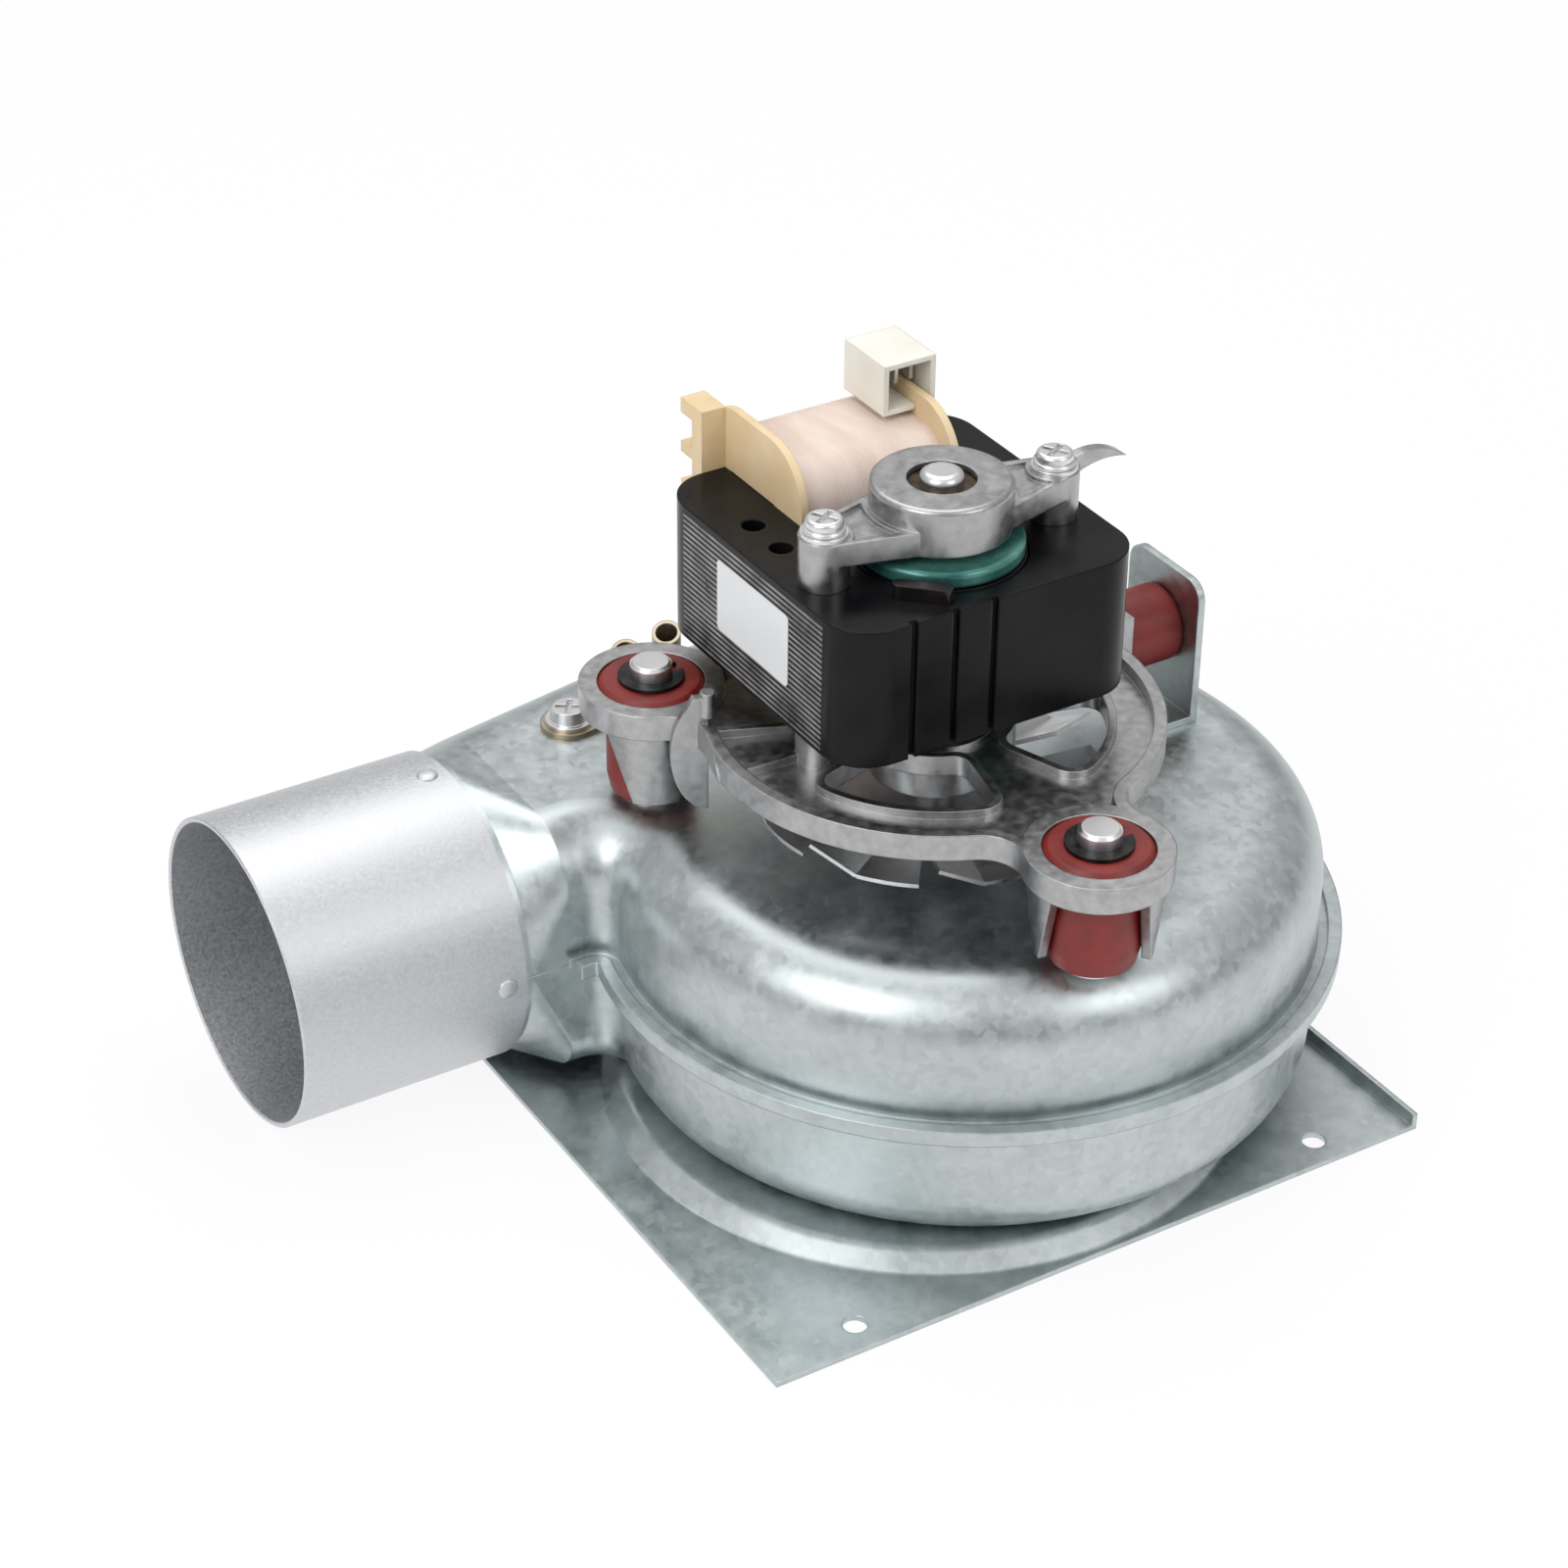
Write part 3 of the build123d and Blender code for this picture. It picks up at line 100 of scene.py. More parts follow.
tent = bpy.data.worlds.new("tent")
bpy.context.scene.world = tent
tent.use_nodes = True
tent_tree = tent.node_tree
tent_light = tent_tree.nodes["Background"]
tent_light.inputs["Color"].default_value = (1, 1, 1, 1)
tent_direction = tent_tree.nodes.new("ShaderNodeTexCoord")
tent_height = tent_tree.nodes.new("ShaderNodeSeparateXYZ")
tent_wall = tent_tree.nodes.new("ShaderNodeMapRange")
tent_wall.inputs["From Min"].default_value = -0.1
tent_wall.inputs["From Max"].default_value = 0.9
tent_wall.inputs["To Min"].default_value = 0.30
tent_wall.inputs["To Max"].default_value = 0.80
tent_path = tent_tree.nodes.new("ShaderNodeLightPath")
tent_strength = tent_tree.nodes.new("ShaderNodeMix")
tent_strength.inputs["B"].default_value = 1.0
wire(
    tent_tree,
    (tent_direction.outputs["Generated"], tent_height.inputs[0]),
    (tent_height.outputs["Z"], tent_wall.inputs["Value"]),
    (tent_wall.outputs[0], tent_strength.inputs["A"]),
    (tent_path.outputs["Is Camera Ray"], tent_strength.inputs["Factor"]),
    (tent_strength.outputs["Result"], tent_light.inputs["Strength"]),
)

lamps_aim = Vector((0, 0, 0.06))
for lamp_name, lamp_at, lamp_side, lamp_watts in (
    ("left_softbox", (-0.75, -0.25, 0.70), 0.55, 3.4),
    ("front_softbox", (0.35, -0.95, 0.75), 0.50, 2.2),
    ("top_softbox", (0.10, 0.35, 1.00), 0.80, 3.4),
):
    softbox = bpy.data.lights.new(lamp_name, "AREA")
    softbox.size = lamp_side
    softbox.energy = lamp_watts
    beam = lamps_aim - Vector(lamp_at)
    add_object(lamp_name, softbox).matrix_world = (
        Matrix.Translation(lamp_at) @ beam.to_track_quat("-Z", "Y").to_matrix().to_4x4()
    )

camera_at = (-0.3294, -0.4893, 0.4408)
camera_turn, camera_down, camera_roll = -31.75, 32.8, 0.6
photo_camera = bpy.data.cameras.new("photo_camera")
photo_camera.lens = 87.16
photo_camera.sensor_width = 36.0
camera_stand = add_object("photo_camera", photo_camera)
camera_stand.matrix_world = (
    Matrix.Translation(camera_at)
    @ Matrix.Rotation(radians(camera_turn), 4, "Z")
    @ Matrix.Rotation(radians(90 - camera_down), 4, "X")
    @ Matrix.Rotation(radians(camera_roll), 4, "Z")
)
bpy.context.scene.camera = camera_stand


# Mounting plate and casing
# Two deep-drawn halves and a square plate, pressed from hot-dip galvanised sheet: bluish
# grey zinc whose crystals each catch the light a little differently, and no paint. The
# nozzle inside is of the same sheet.
def surface(name, colour, metallic, roughness):
    """A new finish in its mean colour and gloss, which mottle then varies."""
    finish = bpy.data.materials.new(name)
    finish.use_nodes = True
    shader = finish.node_tree.nodes["Principled BSDF"]
    shader.inputs["Base Color"].default_value = (*colour, 1)
    shader.inputs["Metallic"].default_value = metallic
    shader.inputs["Roughness"].default_value = roughness
    return finish


def mottle(finish, scale, dark, light, gloss_range, bump, stretch=(1, 1, 1), detail=6.0):
    """Cloudy change of colour and gloss over a finish, with a matching relief."""
    thin, thick = 0.3, 0.7
    tree = finish.node_tree
    shader = tree.nodes["Principled BSDF"]
    place = tree.nodes.new("ShaderNodeTexCoord")
    spread = tree.nodes.new("ShaderNodeMapping")
    spread.inputs["Scale"].default_value = stretch
    cloud = tree.nodes.new("ShaderNodeTexNoise")
    cloud.inputs["Scale"].default_value = scale
    cloud.inputs["Detail"].default_value = detail
    tone = tree.nodes.new("ShaderNodeValToRGB")
    tone.color_ramp.elements[0].position = thin
    tone.color_ramp.elements[0].color = (*dark, 1)
    tone.color_ramp.elements[1].position = thick
    tone.color_ramp.elements[1].color = (*light, 1)
    gloss = tree.nodes.new("ShaderNodeMapRange")
    gloss.inputs["From Min"].default_value = thin
    gloss.inputs["From Max"].default_value = thick
    gloss.inputs["To Min"].default_value = gloss_range[0]
    gloss.inputs["To Max"].default_value = gloss_range[1]
    relief = tree.nodes.new("ShaderNodeBump")
    relief.inputs["Strength"].default_value = bump
    relief.inputs["Distance"].default_value = 0.0002
    wire(
        tree,
        (place.outputs["Object"], spread.inputs["Vector"]),
        (spread.outputs[0], cloud.inputs["Vector"]),
        (cloud.outputs["Fac"], tone.inputs["Fac"]),
        (cloud.outputs["Fac"], gloss.inputs["Value"]),
        (cloud.outputs["Fac"], relief.inputs["Height"]),
        (tone.outputs["Color"], shader.inputs["Base Color"]),
        (gloss.outputs[0], shader.inputs["Roughness"]),
        (relief.outputs["Normal"], shader.inputs["Normal"]),
    )
    spread.name, cloud.name, tone.name = "spread", "cloud", "tone"
    gloss.name, relief.name = "gloss", "relief"


def soften(finish, edge_radius):
    """Light the edges of a mottled finish as if they had a small radius."""
    tree = finish.node_tree
    edge = tree.nodes.new("ShaderNodeBevel")
    edge.samples = 6
    edge.inputs["Radius"].default_value = edge_radius
    wire(tree, (edge.outputs["Normal"], tree.nodes["relief"].inputs["Normal"]))


def dress(finish, *names):
    """Give CAD pieces a finish."""
    for name in names:
        node[name].data.materials.clear()
        node[name].data.materials.append(finish)


galvanised = surface("galvanised_sheet", (0.62, 0.67, 0.67), 1.0, 0.4)
mottle(galvanised, 170.0, (0.46, 0.505, 0.51), (0.60, 0.645, 0.65), (0.32, 0.46), 0.10)
soften(galvanised, 0.0005)
zinc_tree = galvanised.node_tree
zinc = zinc_tree.nodes
zinc_crystal = zinc.new("ShaderNodeTexVoronoi")
zinc_crystal.inputs["Scale"].default_value = 650.0
zinc_grey = zinc.new("ShaderNodeRGBToBW")
zinc_facet = zinc.new("ShaderNodeMix")
zinc_facet.inputs["Factor"].default_value = 0.30
wire(
    zinc_tree,
    (zinc["spread"].outputs[0], zinc_crystal.inputs["Vector"]),
    (zinc_crystal.outputs["Color"], zinc_grey.inputs[0]),
    (zinc["cloud"].outputs["Fac"], zinc_facet.inputs["A"]),
    (zinc_grey.outputs[0], zinc_facet.inputs["B"]),
    (zinc_facet.outputs["Result"], zinc["tone"].inputs["Fac"]),
    (zinc_facet.outputs["Result"], zinc["gloss"].inputs["Value"]),
)
dress(galvanised, "base_plate", "lower_shell", "upper_shell", "inlet_nozzle")


# Outlet spigot
# A drawn aluminium tube with a satin skin, pushed over the casing's collar. Four blind
# rivets of the same metal hold it, and their low round heads stand on the tube.
def new_tree(name, **sizes):
    """An empty Geometry Nodes tree whose named inputs are sizes in metres, or counts."""
    tree = bpy.data.node_groups.new(name, "GeometryNodeTree")
    tree.interface.new_socket("Geometry", in_out="INPUT", socket_type="NodeSocketGeometry")
    for size, value in sizes.items():
        kind = "NodeSocketInt" if isinstance(value, int) else "NodeSocketFloat"
        tree.interface.new_socket(size, in_out="INPUT", socket_type=kind).default_value = value
    tree.interface.new_socket("Geometry", in_out="OUTPUT", socket_type="NodeSocketGeometry")
    return tree, tree.nodes.new("NodeGroupInput"), tree.nodes.new("NodeGroupOutput")


def close_tree(tree, copies, finish, group_out, smooth=True):
    """End a tree: make its copies real, shade them, and give them their finish."""
    real = tree.nodes.new("GeometryNodeRealizeInstances")
    shade = tree.nodes.new("GeometryNodeSetShadeSmooth")
    shade.inputs["Shade Smooth"].default_value = smooth
    coat = tree.nodes.new("GeometryNodeSetMaterial")
    coat.inputs["Material"].default_value = finish
    wire(
        tree,
        (copies, real.inputs["Geometry"]),
        (real.outputs["Geometry"], shade.inputs["Geometry"]),
        (shade.outputs["Geometry"], coat.inputs["Geometry"]),
        (coat.outputs["Geometry"], group_out.inputs["Geometry"]),
    )


def plain_mesh(piece):
    """What a piece's modifiers make of it, as a plain mesh."""
    evaluated = piece.evaluated_get(bpy.context.evaluated_depsgraph_get())
    return bpy.data.meshes.new_from_object(evaluated)


def grow(name, tree, body, slot, **sizes):
    """Run a tree with its sizes, and keep what it makes as a plain piece on a body."""
    seed = add_object(name + "_seed", bpy.data.meshes.new(name + "_seed"))
    grower = seed.modifiers.new(name, "NODES")
    grower.node_group = tree
    for socket in tree.interface.items_tree:
        if socket.in_out == "INPUT" and socket.name in sizes:
            grower[socket.identifier] = sizes[socket.name]
    mesh = plain_mesh(seed)
    seed.modifiers.remove(grower)
    bpy.data.objects.remove(seed)
    piece = add_object(name, mesh)
    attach(piece, body)


drawn_aluminium = surface("drawn_aluminium", (0.66, 0.67, 0.69), 1.0, 0.5)
mottle(drawn_aluminium, 1400.0, (0.60, 0.61, 0.63), (0.72, 0.73, 0.75), (0.44, 0.58), 0.16)
dress(drawn_aluminium, "outlet_spigot", "spigot_rivets")

spigot_low, spigot_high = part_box("outlet_spigot")
rivet_low, rivet_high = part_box("spigot_rivets")
rivet_tree, rivet_in, rivet_out = new_tree(
    "rivet_heads", Count=4, Tube=0.03, Head=0.002, Rise=0.0007, X=0.0, Y=0.0, Z=0.0
)
rivet_ring = rivet_tree.nodes.new("GeometryNodeMeshCircle")
rivet_place = rivet_tree.nodes.new("GeometryNodeInputPosition")
rivet_aim = rivet_tree.nodes.new("FunctionNodeAlignEulerToVector")
rivet_aim.axis = "Z"
rivet_ball = rivet_tree.nodes.new("GeometryNodeMeshUVSphere")
rivet_ball.inputs["Segments"].default_value = 24
rivet_ball.inputs["Rings"].default_value = 12
rivet_ball.inputs["Radius"].default_value = 1.0
rivet_girth = rivet_tree.nodes.new("ShaderNodeCombineXYZ")
rivet_copies = rivet_tree.nodes.new("GeometryNodeInstanceOnPoints")
rivet_centre = rivet_tree.nodes.new("ShaderNodeCombineXYZ")
rivet_move = rivet_tree.nodes.new("GeometryNodeTransform")
rivet_move.inputs["Rotation"].default_value = (0, radians(90), 0)
wire(
    rivet_tree,
    (rivet_in.outputs["Count"], rivet_ring.inputs["Vertices"]),
    (rivet_in.outputs["Tube"], rivet_ring.inputs["Radius"]),
    (rivet_in.outputs["Head"], rivet_girth.inputs["X"]),
    (rivet_in.outputs["Head"], rivet_girth.inputs["Y"]),
    (rivet_in.outputs["Rise"], rivet_girth.inputs["Z"]),
    (rivet_in.outputs["X"], rivet_centre.inputs["X"]),
    (rivet_in.outputs["Y"], rivet_centre.inputs["Y"]),
    (rivet_in.outputs["Z"], rivet_centre.inputs["Z"]),
    (rivet_ring.outputs["Mesh"], rivet_copies.inputs["Points"]),
    (rivet_ball.outputs["Mesh"], rivet_copies.inputs["Instance"]),
    (rivet_place.outputs[0], rivet_aim.inputs["Vector"]),
    (rivet_aim.outputs[0], rivet_copies.inputs["Rotation"]),
    (rivet_girth.outputs[0], rivet_copies.inputs["Scale"]),
    (rivet_copies.outputs[0], rivet_move.inputs["Geometry"]),
    (rivet_centre.outputs[0], rivet_move.inputs["Translation"]),
)
close_tree(rivet_tree, rivet_move.outputs[0], drawn_aluminium, rivet_out)
grow(
    "spigot_rivet_heads", rivet_tree, "housing", "spigot_aluminium",
    Tube=(spigot_high[1] - spigot_low[1]) / 2, X=(rivet_low[0] + rivet_high[0]) / 2,
    Y=(spigot_low[1] + spigot_high[1]) / 2, Z=(spigot_low[2] + spigot_high[2]) / 2,
)

# Pressure tap
# A steel strip and two slant-cut tubes with a yellow chromate coat over the zinc, held to
# the roof by one cross-headed screw.
yellow_zinc = surface("yellow_chromate", (0.42, 0.36, 0.26), 1.0, 0.38)
mottle(yellow_zinc, 150.0, (0.33, 0.26, 0.17), (0.52, 0.47, 0.37), (0.30, 0.48), 0.10)
soften(yellow_zinc, 0.0003)
dress(yellow_zinc, "tap_strip", "tap_tubes")
bright_steel = surface("bright_steel", (0.78, 0.78, 0.79), 1.0, 0.24)
mottle(bright_steel, 60.0, (0.74, 0.74, 0.75), (0.82, 0.82, 0.83), (0.26, 0.36), 0.0)
soften(bright_steel, 0.0003)
dress(bright_steel, "tap_screw")

# Shaft seal
# A disc of grey wool felt, punched from a sheet. It lies on the roof round the shaft and
# keeps the flue gas from coming out along it.
wool_felt = surface("wool_felt", (0.30, 0.27, 0.24), 0.0, 0.9)
mottle(wool_felt, 900.0, (0.20, 0.18, 0.16), (0.42, 0.39, 0.35), (0.82, 0.96), 0.80)
dress(wool_felt, "shaft_seal")

# Mount studs and retaining clips
# Turned steel posts with a wide foot, standing on the roof, and blackened spring rings
# that snap into their grooves above the silicone.
dress(bright_steel, "mount_studs")
black_spring = surface("black_spring_steel", (0.03, 0.03, 0.03), 0.9, 0.4)
mottle(black_spring, 400.0, (0.02, 0.02, 0.02), (0.06, 0.06, 0.06), (0.30, 0.50), 0.10)
soften(black_spring, 0.0002)
dress(black_spring, "retaining_clips")

# Silicone grommets and side bumper
# Moulded in dark red silicone with a soft sheen. The bumper sits on a headed steel pin
# through the bent galvanised bracket.
silicone = surface("red_silicone", (0.27, 0.022, 0.018), 0.0, 0.4)
mottle(silicone, 180.0, (0.15, 0.010, 0.008), (0.25, 0.022, 0.017), (0.34, 0.52), 0.12)
soften(silicone, 0.0005)
dress(silicone, "front_grommet", "left_grommet", "side_bumper")
dress(galvanised, "side_bracket")
dress(bright_steel, "bumper_pin")


# Motor frame
# Pressure die-cast aluminium, tumbled bright: raised rims round a recessed floor, with a
# coarse grey skin that is polished on the edges. A D-shaped fin stands out radially beside
# the left ear, with a round pip at its top.
def prism(name, outline, low, high, place):
    """A closed plate: an outline of (u, v) points, thick from low to high, set by place."""
    count = len(outline)
    points = [place(u, v, low) for u, v in outline] + [place(u, v, high) for u, v in outline]
    sides = [(i, (i + 1) % count, (i + 1) % count + count, i + count) for i in range(count)]
    ends = [tuple(range(count)), tuple(range(2 * count - 1, count - 1, -1))]
    shape = bmesh.new()
    corners = [shape.verts.new(point) for point in points]
    for face in sides + ends:
        shape.faces.new([corners[i] for i in face])
    bmesh.ops.recalc_face_normals(shape, faces=shape.faces)
    mesh = bpy.data.meshes.new(name)
    shape.to_mesh(mesh)
    shape.free()
    return add_object(name, mesh)


die_cast = surface("die_cast_aluminium", (0.62, 0.62, 0.63), 1.0, 0.36)
mottle(
    die_cast, 500.0, (0.38, 0.38, 0.385), (0.50, 0.50, 0.505), (0.28, 0.40), 0.03, detail=2.0
)
soften(die_cast, 0.0004)
cast_tree = die_cast.node_tree
cast_pit = cast_tree.nodes.new("ShaderNodeTexNoise")
cast_pit.inputs["Scale"].default_value = 1100.0
cast_pit.inputs["Detail"].default_value = 3.0
cast_grain = cast_tree.nodes.new("ShaderNodeBump")
cast_grain.inputs["Strength"].default_value = 0.04
cast_grain.inputs["Distance"].default_value = 0.00008
wire(
    cast_tree,
    (cast_tree.nodes["spread"].outputs[0], cast_pit.inputs["Vector"]),
    (cast_pit.outputs["Fac"], cast_grain.inputs["Height"]),
    (cast_tree.nodes["relief"].outputs["Normal"], cast_grain.inputs["Normal"]),
    (cast_grain.outputs["Normal"], cast_tree.nodes["Principled BSDF"].inputs["Normal"]),
)

shaft_low, shaft_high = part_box("motor_shaft")
shaft_y = (shaft_low[1] + shaft_high[1]) / 2
fin_angle = 157.0
fin_turn = Matrix.Translation((0, shaft_y, 0)) @ Matrix.Rotation(radians(fin_angle), 4, "Z")
fin_root, fin_reach, fin_flat = 0.0410, 0.0478, 0.0438
fin_bottom, fin_top = 0.0640, 0.0872
fin_middle, fin_half = (fin_bottom + fin_top) / 2, (fin_top - fin_bottom) / 2
fin_thickness = 0.0018
fin_sweep_start, fin_sweep, fin_steps = -90, 155, 20
fin_outline = [(fin_root, fin_top), (fin_root, fin_bottom)]
for step in range(1, fin_steps):
    sweep = radians(fin_sweep_start + fin_sweep * step / fin_steps)
    fin_outline.append(
        (fin_root + (fin_reach - fin_root) * cos(sweep), fin_middle + fin_half * sin(sweep))
    )
fin_outline.append((fin_flat, fin_top))
fin = prism(
    "frame_fin", fin_outline, -fin_thickness, 0.0,
    lambda u, v, w: fin_turn @ Vector((u, w, v)),
)
pip_radius, pip_sides = 0.0014, 24
pip_depth, pip_rise = 0.004, 0.001
pip_steps = [radians(360 / pip_sides * side) for side in range(pip_sides)]
pip_outline = [
    (fin_root + pip_radius * cos(turn), pip_radius * sin(turn)) for turn in pip_steps
]
pip = prism(
    "frame_pip", pip_outline, fin_top - pip_depth, fin_top + pip_rise,
    lambda u, v, w: fin_turn @ Vector((u, v - fin_thickness / 2, w)),
)

# The CAD frame has this fin in another place, so it is cut off there first.
old_fin_left, old_fin_right = -0.047, -0.035
old_fin_front, old_fin_back = -0.009, 0.0045
old_fin_bottom, old_fin_top = 0.058, 0.07698
old_fin = prism(
    "frame_old_fin",
    [
        (old_fin_left, old_fin_front), (old_fin_right, old_fin_front),
        (old_fin_right, old_fin_back), (old_fin_left, old_fin_back),
    ],
    old_fin_bottom, old_fin_top, lambda u, v, w: Vector((u, v, w)),
)

weld_gap = 1e-6
crease_angle = 30
casting = add_object("frame_casting", node["motor_frame"].data.copy())
casting.data.attributes.remove(casting.data.attributes["custom_normal"])
cast_shape = bmesh.new()
cast_shape.from_mesh(casting.data)
bmesh.ops.remove_doubles(cast_shape, verts=cast_shape.verts, dist=weld_gap)
cast_shape.to_mesh(casting.data)
cast_shape.free()
for tool, operation in ((old_fin, "DIFFERENCE"), (fin, "UNION"), (pip, "UNION")):
    cut = casting.modifiers.new(tool.name, "BOOLEAN")
    cut.operation = operation
    cut.solver = "EXACT"
    cut.object = tool
cast_mesh = plain_mesh(casting)
casting.modifiers.clear()
casting.data = cast_mesh
for tool in (old_fin, fin, pip):
    bpy.data.objects.remove(tool)
cast_mesh.shade_smooth()
cast_mesh.set_sharp_from_angle(angle=radians(crease_angle))
even = casting.modifiers.new("even", "WEIGHTED_NORMAL")
even.keep_sharp = True
cast_mesh = plain_mesh(casting)
casting.modifiers.clear()
casting.data = cast_mesh
cast_mesh.materials.clear()
cast_mesh.materials.append(die_cast)
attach(casting, "housing")
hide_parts("motor_frame")

# Bearings and felts
# Balls of sintered bronze, in the frame's hub and in the bridge, each beside a ring of wool
# felt. Their dark colour is partly the oil that fills them and partly painted shade of the
# deep holes they sit in.
# The bronze colour holds painted shade as well as the darkening of the oil.
bronze = surface("sintered_bronze", (0.10, 0.075, 0.05), 1.0, 0.42)
mottle(bronze, 700.0, (0.06, 0.045, 0.03), (0.15, 0.11, 0.07), (0.34, 0.52), 0.30)
dress(bronze, "upper_bearing", "lower_bearing")
dress(wool_felt, "upper_felt", "lower_felt")

# Stator stack
# Electrical steel sheets pressed together and dipped in black lacquer. The lacquer fills
# the front smooth, and runs thin on the two sides, where the sheets' edges stay as fine
# grey ridges.
stack_lacquer = surface("stack_lacquer", (0.006, 0.006, 0.007), 0.0, 0.26)
stack_shader = stack_lacquer.node_tree.nodes["Principled BSDF"]
stack_shader.inputs["Specular IOR Level"].default_value = 0.15
mottle(stack_lacquer, 90.0, (0.004, 0.004, 0.005), (0.010, 0.010, 0.011), (0.20, 0.34), 0.12)
soften(stack_lacquer, 0.0006)
dress(stack_lacquer, "stator_core", "coil_core")
sheet_edge = surface("sheet_edge", (0.11, 0.11, 0.115), 0.2, 0.34)
mottle(sheet_edge, 160.0, (0.09, 0.09, 0.092), (0.34, 0.34, 0.345), (0.26, 0.42), 0.06)
soften(sheet_edge, 0.00012)

stack_low, stack_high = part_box("stator_core")
stack_corner = 0.009
edge_pitch = 0.0011
edge_count = int((stack_high[2] - stack_low[2]) / edge_pitch) - 1
edge_tree, edge_in, edge_out = new_tree(
    "sheet_edges", Pitch=edge_pitch, Count=edge_count, Proud=0.00009, Thickness=0.0005,
    Length=0.05, Width=0.062, Y=0.0, Z=0.0
)
edge_bar = edge_tree.nodes.new("GeometryNodeMeshCube")
edge_size = edge_tree.nodes.new("ShaderNodeCombineXYZ")
edge_double = edge_tree.nodes.new("ShaderNodeMath")
edge_double.operation = "MULTIPLY"
edge_double.inputs[1].default_value = 2.0
edge_sides = edge_tree.nodes.new("GeometryNodeMeshLine")
edge_sides.inputs["Count"].default_value = 2
edge_across = edge_tree.nodes.new("ShaderNodeCombineXYZ")
edge_half = edge_tree.nodes.new("ShaderNodeMath")
edge_half.operation = "MULTIPLY"
edge_half.inputs[1].default_value = -0.5
edge_corner = edge_tree.nodes.new("ShaderNodeCombineXYZ")
edge_pair = edge_tree.nodes.new("GeometryNodeInstanceOnPoints")
edge_levels = edge_tree.nodes.new("GeometryNodeMeshLine")
edge_step = edge_tree.nodes.new("ShaderNodeCombineXYZ")
edge_copies = edge_tree.nodes.new("GeometryNodeInstanceOnPoints")
wire(
    edge_tree,
    (edge_in.outputs["Proud"], edge_double.inputs[0]),
    (edge_in.outputs["Length"], edge_size.inputs["Y"]),
    (edge_in.outputs["Thickness"], edge_size.inputs["Z"]),
    (edge_in.outputs["Width"], edge_across.inputs["X"]),
    (edge_in.outputs["Width"], edge_half.inputs[0]),
    (edge_in.outputs["Y"], edge_corner.inputs["Y"]),
    (edge_in.outputs["Z"], edge_corner.inputs["Z"]),
    (edge_in.outputs["Count"], edge_levels.inputs["Count"]),
    (edge_in.outputs["Pitch"], edge_step.inputs["Z"]),
    (edge_double.outputs[0], edge_size.inputs["X"]),
    (edge_size.outputs[0], edge_bar.inputs["Size"]),
    (edge_half.outputs[0], edge_corner.inputs["X"]),
    (edge_corner.outputs[0], edge_sides.inputs["Start Location"]),
    (edge_across.outputs[0], edge_sides.inputs["Offset"]),
    (edge_sides.outputs["Mesh"], edge_pair.inputs["Points"]),
    (edge_bar.outputs["Mesh"], edge_pair.inputs["Instance"]),
    (edge_step.outputs[0], edge_levels.inputs["Offset"]),
    (edge_levels.outputs["Mesh"], edge_copies.inputs["Points"]),
    (edge_pair.outputs[0], edge_copies.inputs["Instance"]),
)
close_tree(edge_tree, edge_copies.outputs[0], sheet_edge, edge_out, smooth=False)
grow(
    "stack_sheet_edges", edge_tree, "housing", "stack_paint",
    Length=stack_high[1] - stack_low[1] - 2 * stack_corner, Width=stack_high[0] - stack_low[0],
    Y=(stack_low[1] + stack_high[1]) / 2, Z=stack_low[2] + edge_pitch,
)

# Shading rings
# Closed loops of thick copper wire, set through slots in the stack and dipped with it, so
# that the lacquer on them is nearly black.
dipped_copper = surface("dipped_copper", (0.02, 0.012, 0.01), 0.2, 0.3)
mottle(dipped_copper, 300.0, (0.006, 0.005, 0.005), (0.013, 0.009, 0.008), (0.20, 0.34), 0.10)
soften(dipped_copper, 0.0004)
dress(dipped_copper, "shading_rings")

# Bobbin and terminal block
# Moulded in glass-filled nylon of a warm cream. The terminal block stands on the left
# flange's outer face, with three short prongs pointing back.
bobbin_nylon = surface("bobbin_nylon", (0.78, 0.60, 0.36), 0.0, 0.45)
mottle(bobbin_nylon, 120.0, (0.74, 0.55, 0.31), (0.83, 0.66, 0.42), (0.38, 0.52), 0.08)
soften(bobbin_nylon, 0.0003)
dress(bobbin_nylon, "coil_bobbin")

flange_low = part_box("coil_bobbin")[0]
block_gap, block_depth, prong_reach, block_thickness = 0.00002, 0.0035, 0.0075, 0.0050
block_front = stack_high[1] + block_gap
block_back = stack_high[1] + block_depth
prong_back = stack_high[1] + prong_reach
block_floor, block_top = 0.1040, 0.1272
lower_prongs = ((0.1162, 0.1184), (0.1084, 0.1106))
top_prong_floor = 0.1242
block_outline = [
    (block_front, block_floor), (block_front, block_top),
    (prong_back, block_top), (prong_back, top_prong_floor), (block_back, top_prong_floor),
]
for prong_floor, prong_top in lower_prongs:
    block_outline.extend([
        (block_back, prong_top), (prong_back, prong_top),
        (prong_back, prong_floor), (block_back, prong_floor),
    ])
block_outline.append((block_back, block_floor))
terminal_posts = prism(
    "terminal_posts", block_outline, flange_low[0] - block_thickness, flange_low[0],
    lambda u, v, w: Vector((w, u, v)),
)
terminal_posts.data.materials.append(bobbin_nylon)
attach(terminal_posts, "housing")
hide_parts("terminal_block")

# Coil winding
# Enamelled wire under several turns of thin pinkish tape. The tape is drawn tight, so the
# wire below it shows as low, slightly uneven rings round the coil.
coil_tape = surface("coil_tape", (0.84, 0.68, 0.60), 0.0, 0.5)
mottle(
    coil_tape, 70.0, (0.68, 0.53, 0.46), (0.80, 0.67, 0.60), (0.42, 0.58), 0.20,
    stretch=(3, 1, 1)
)
dress(coil_tape, "coil_winding")

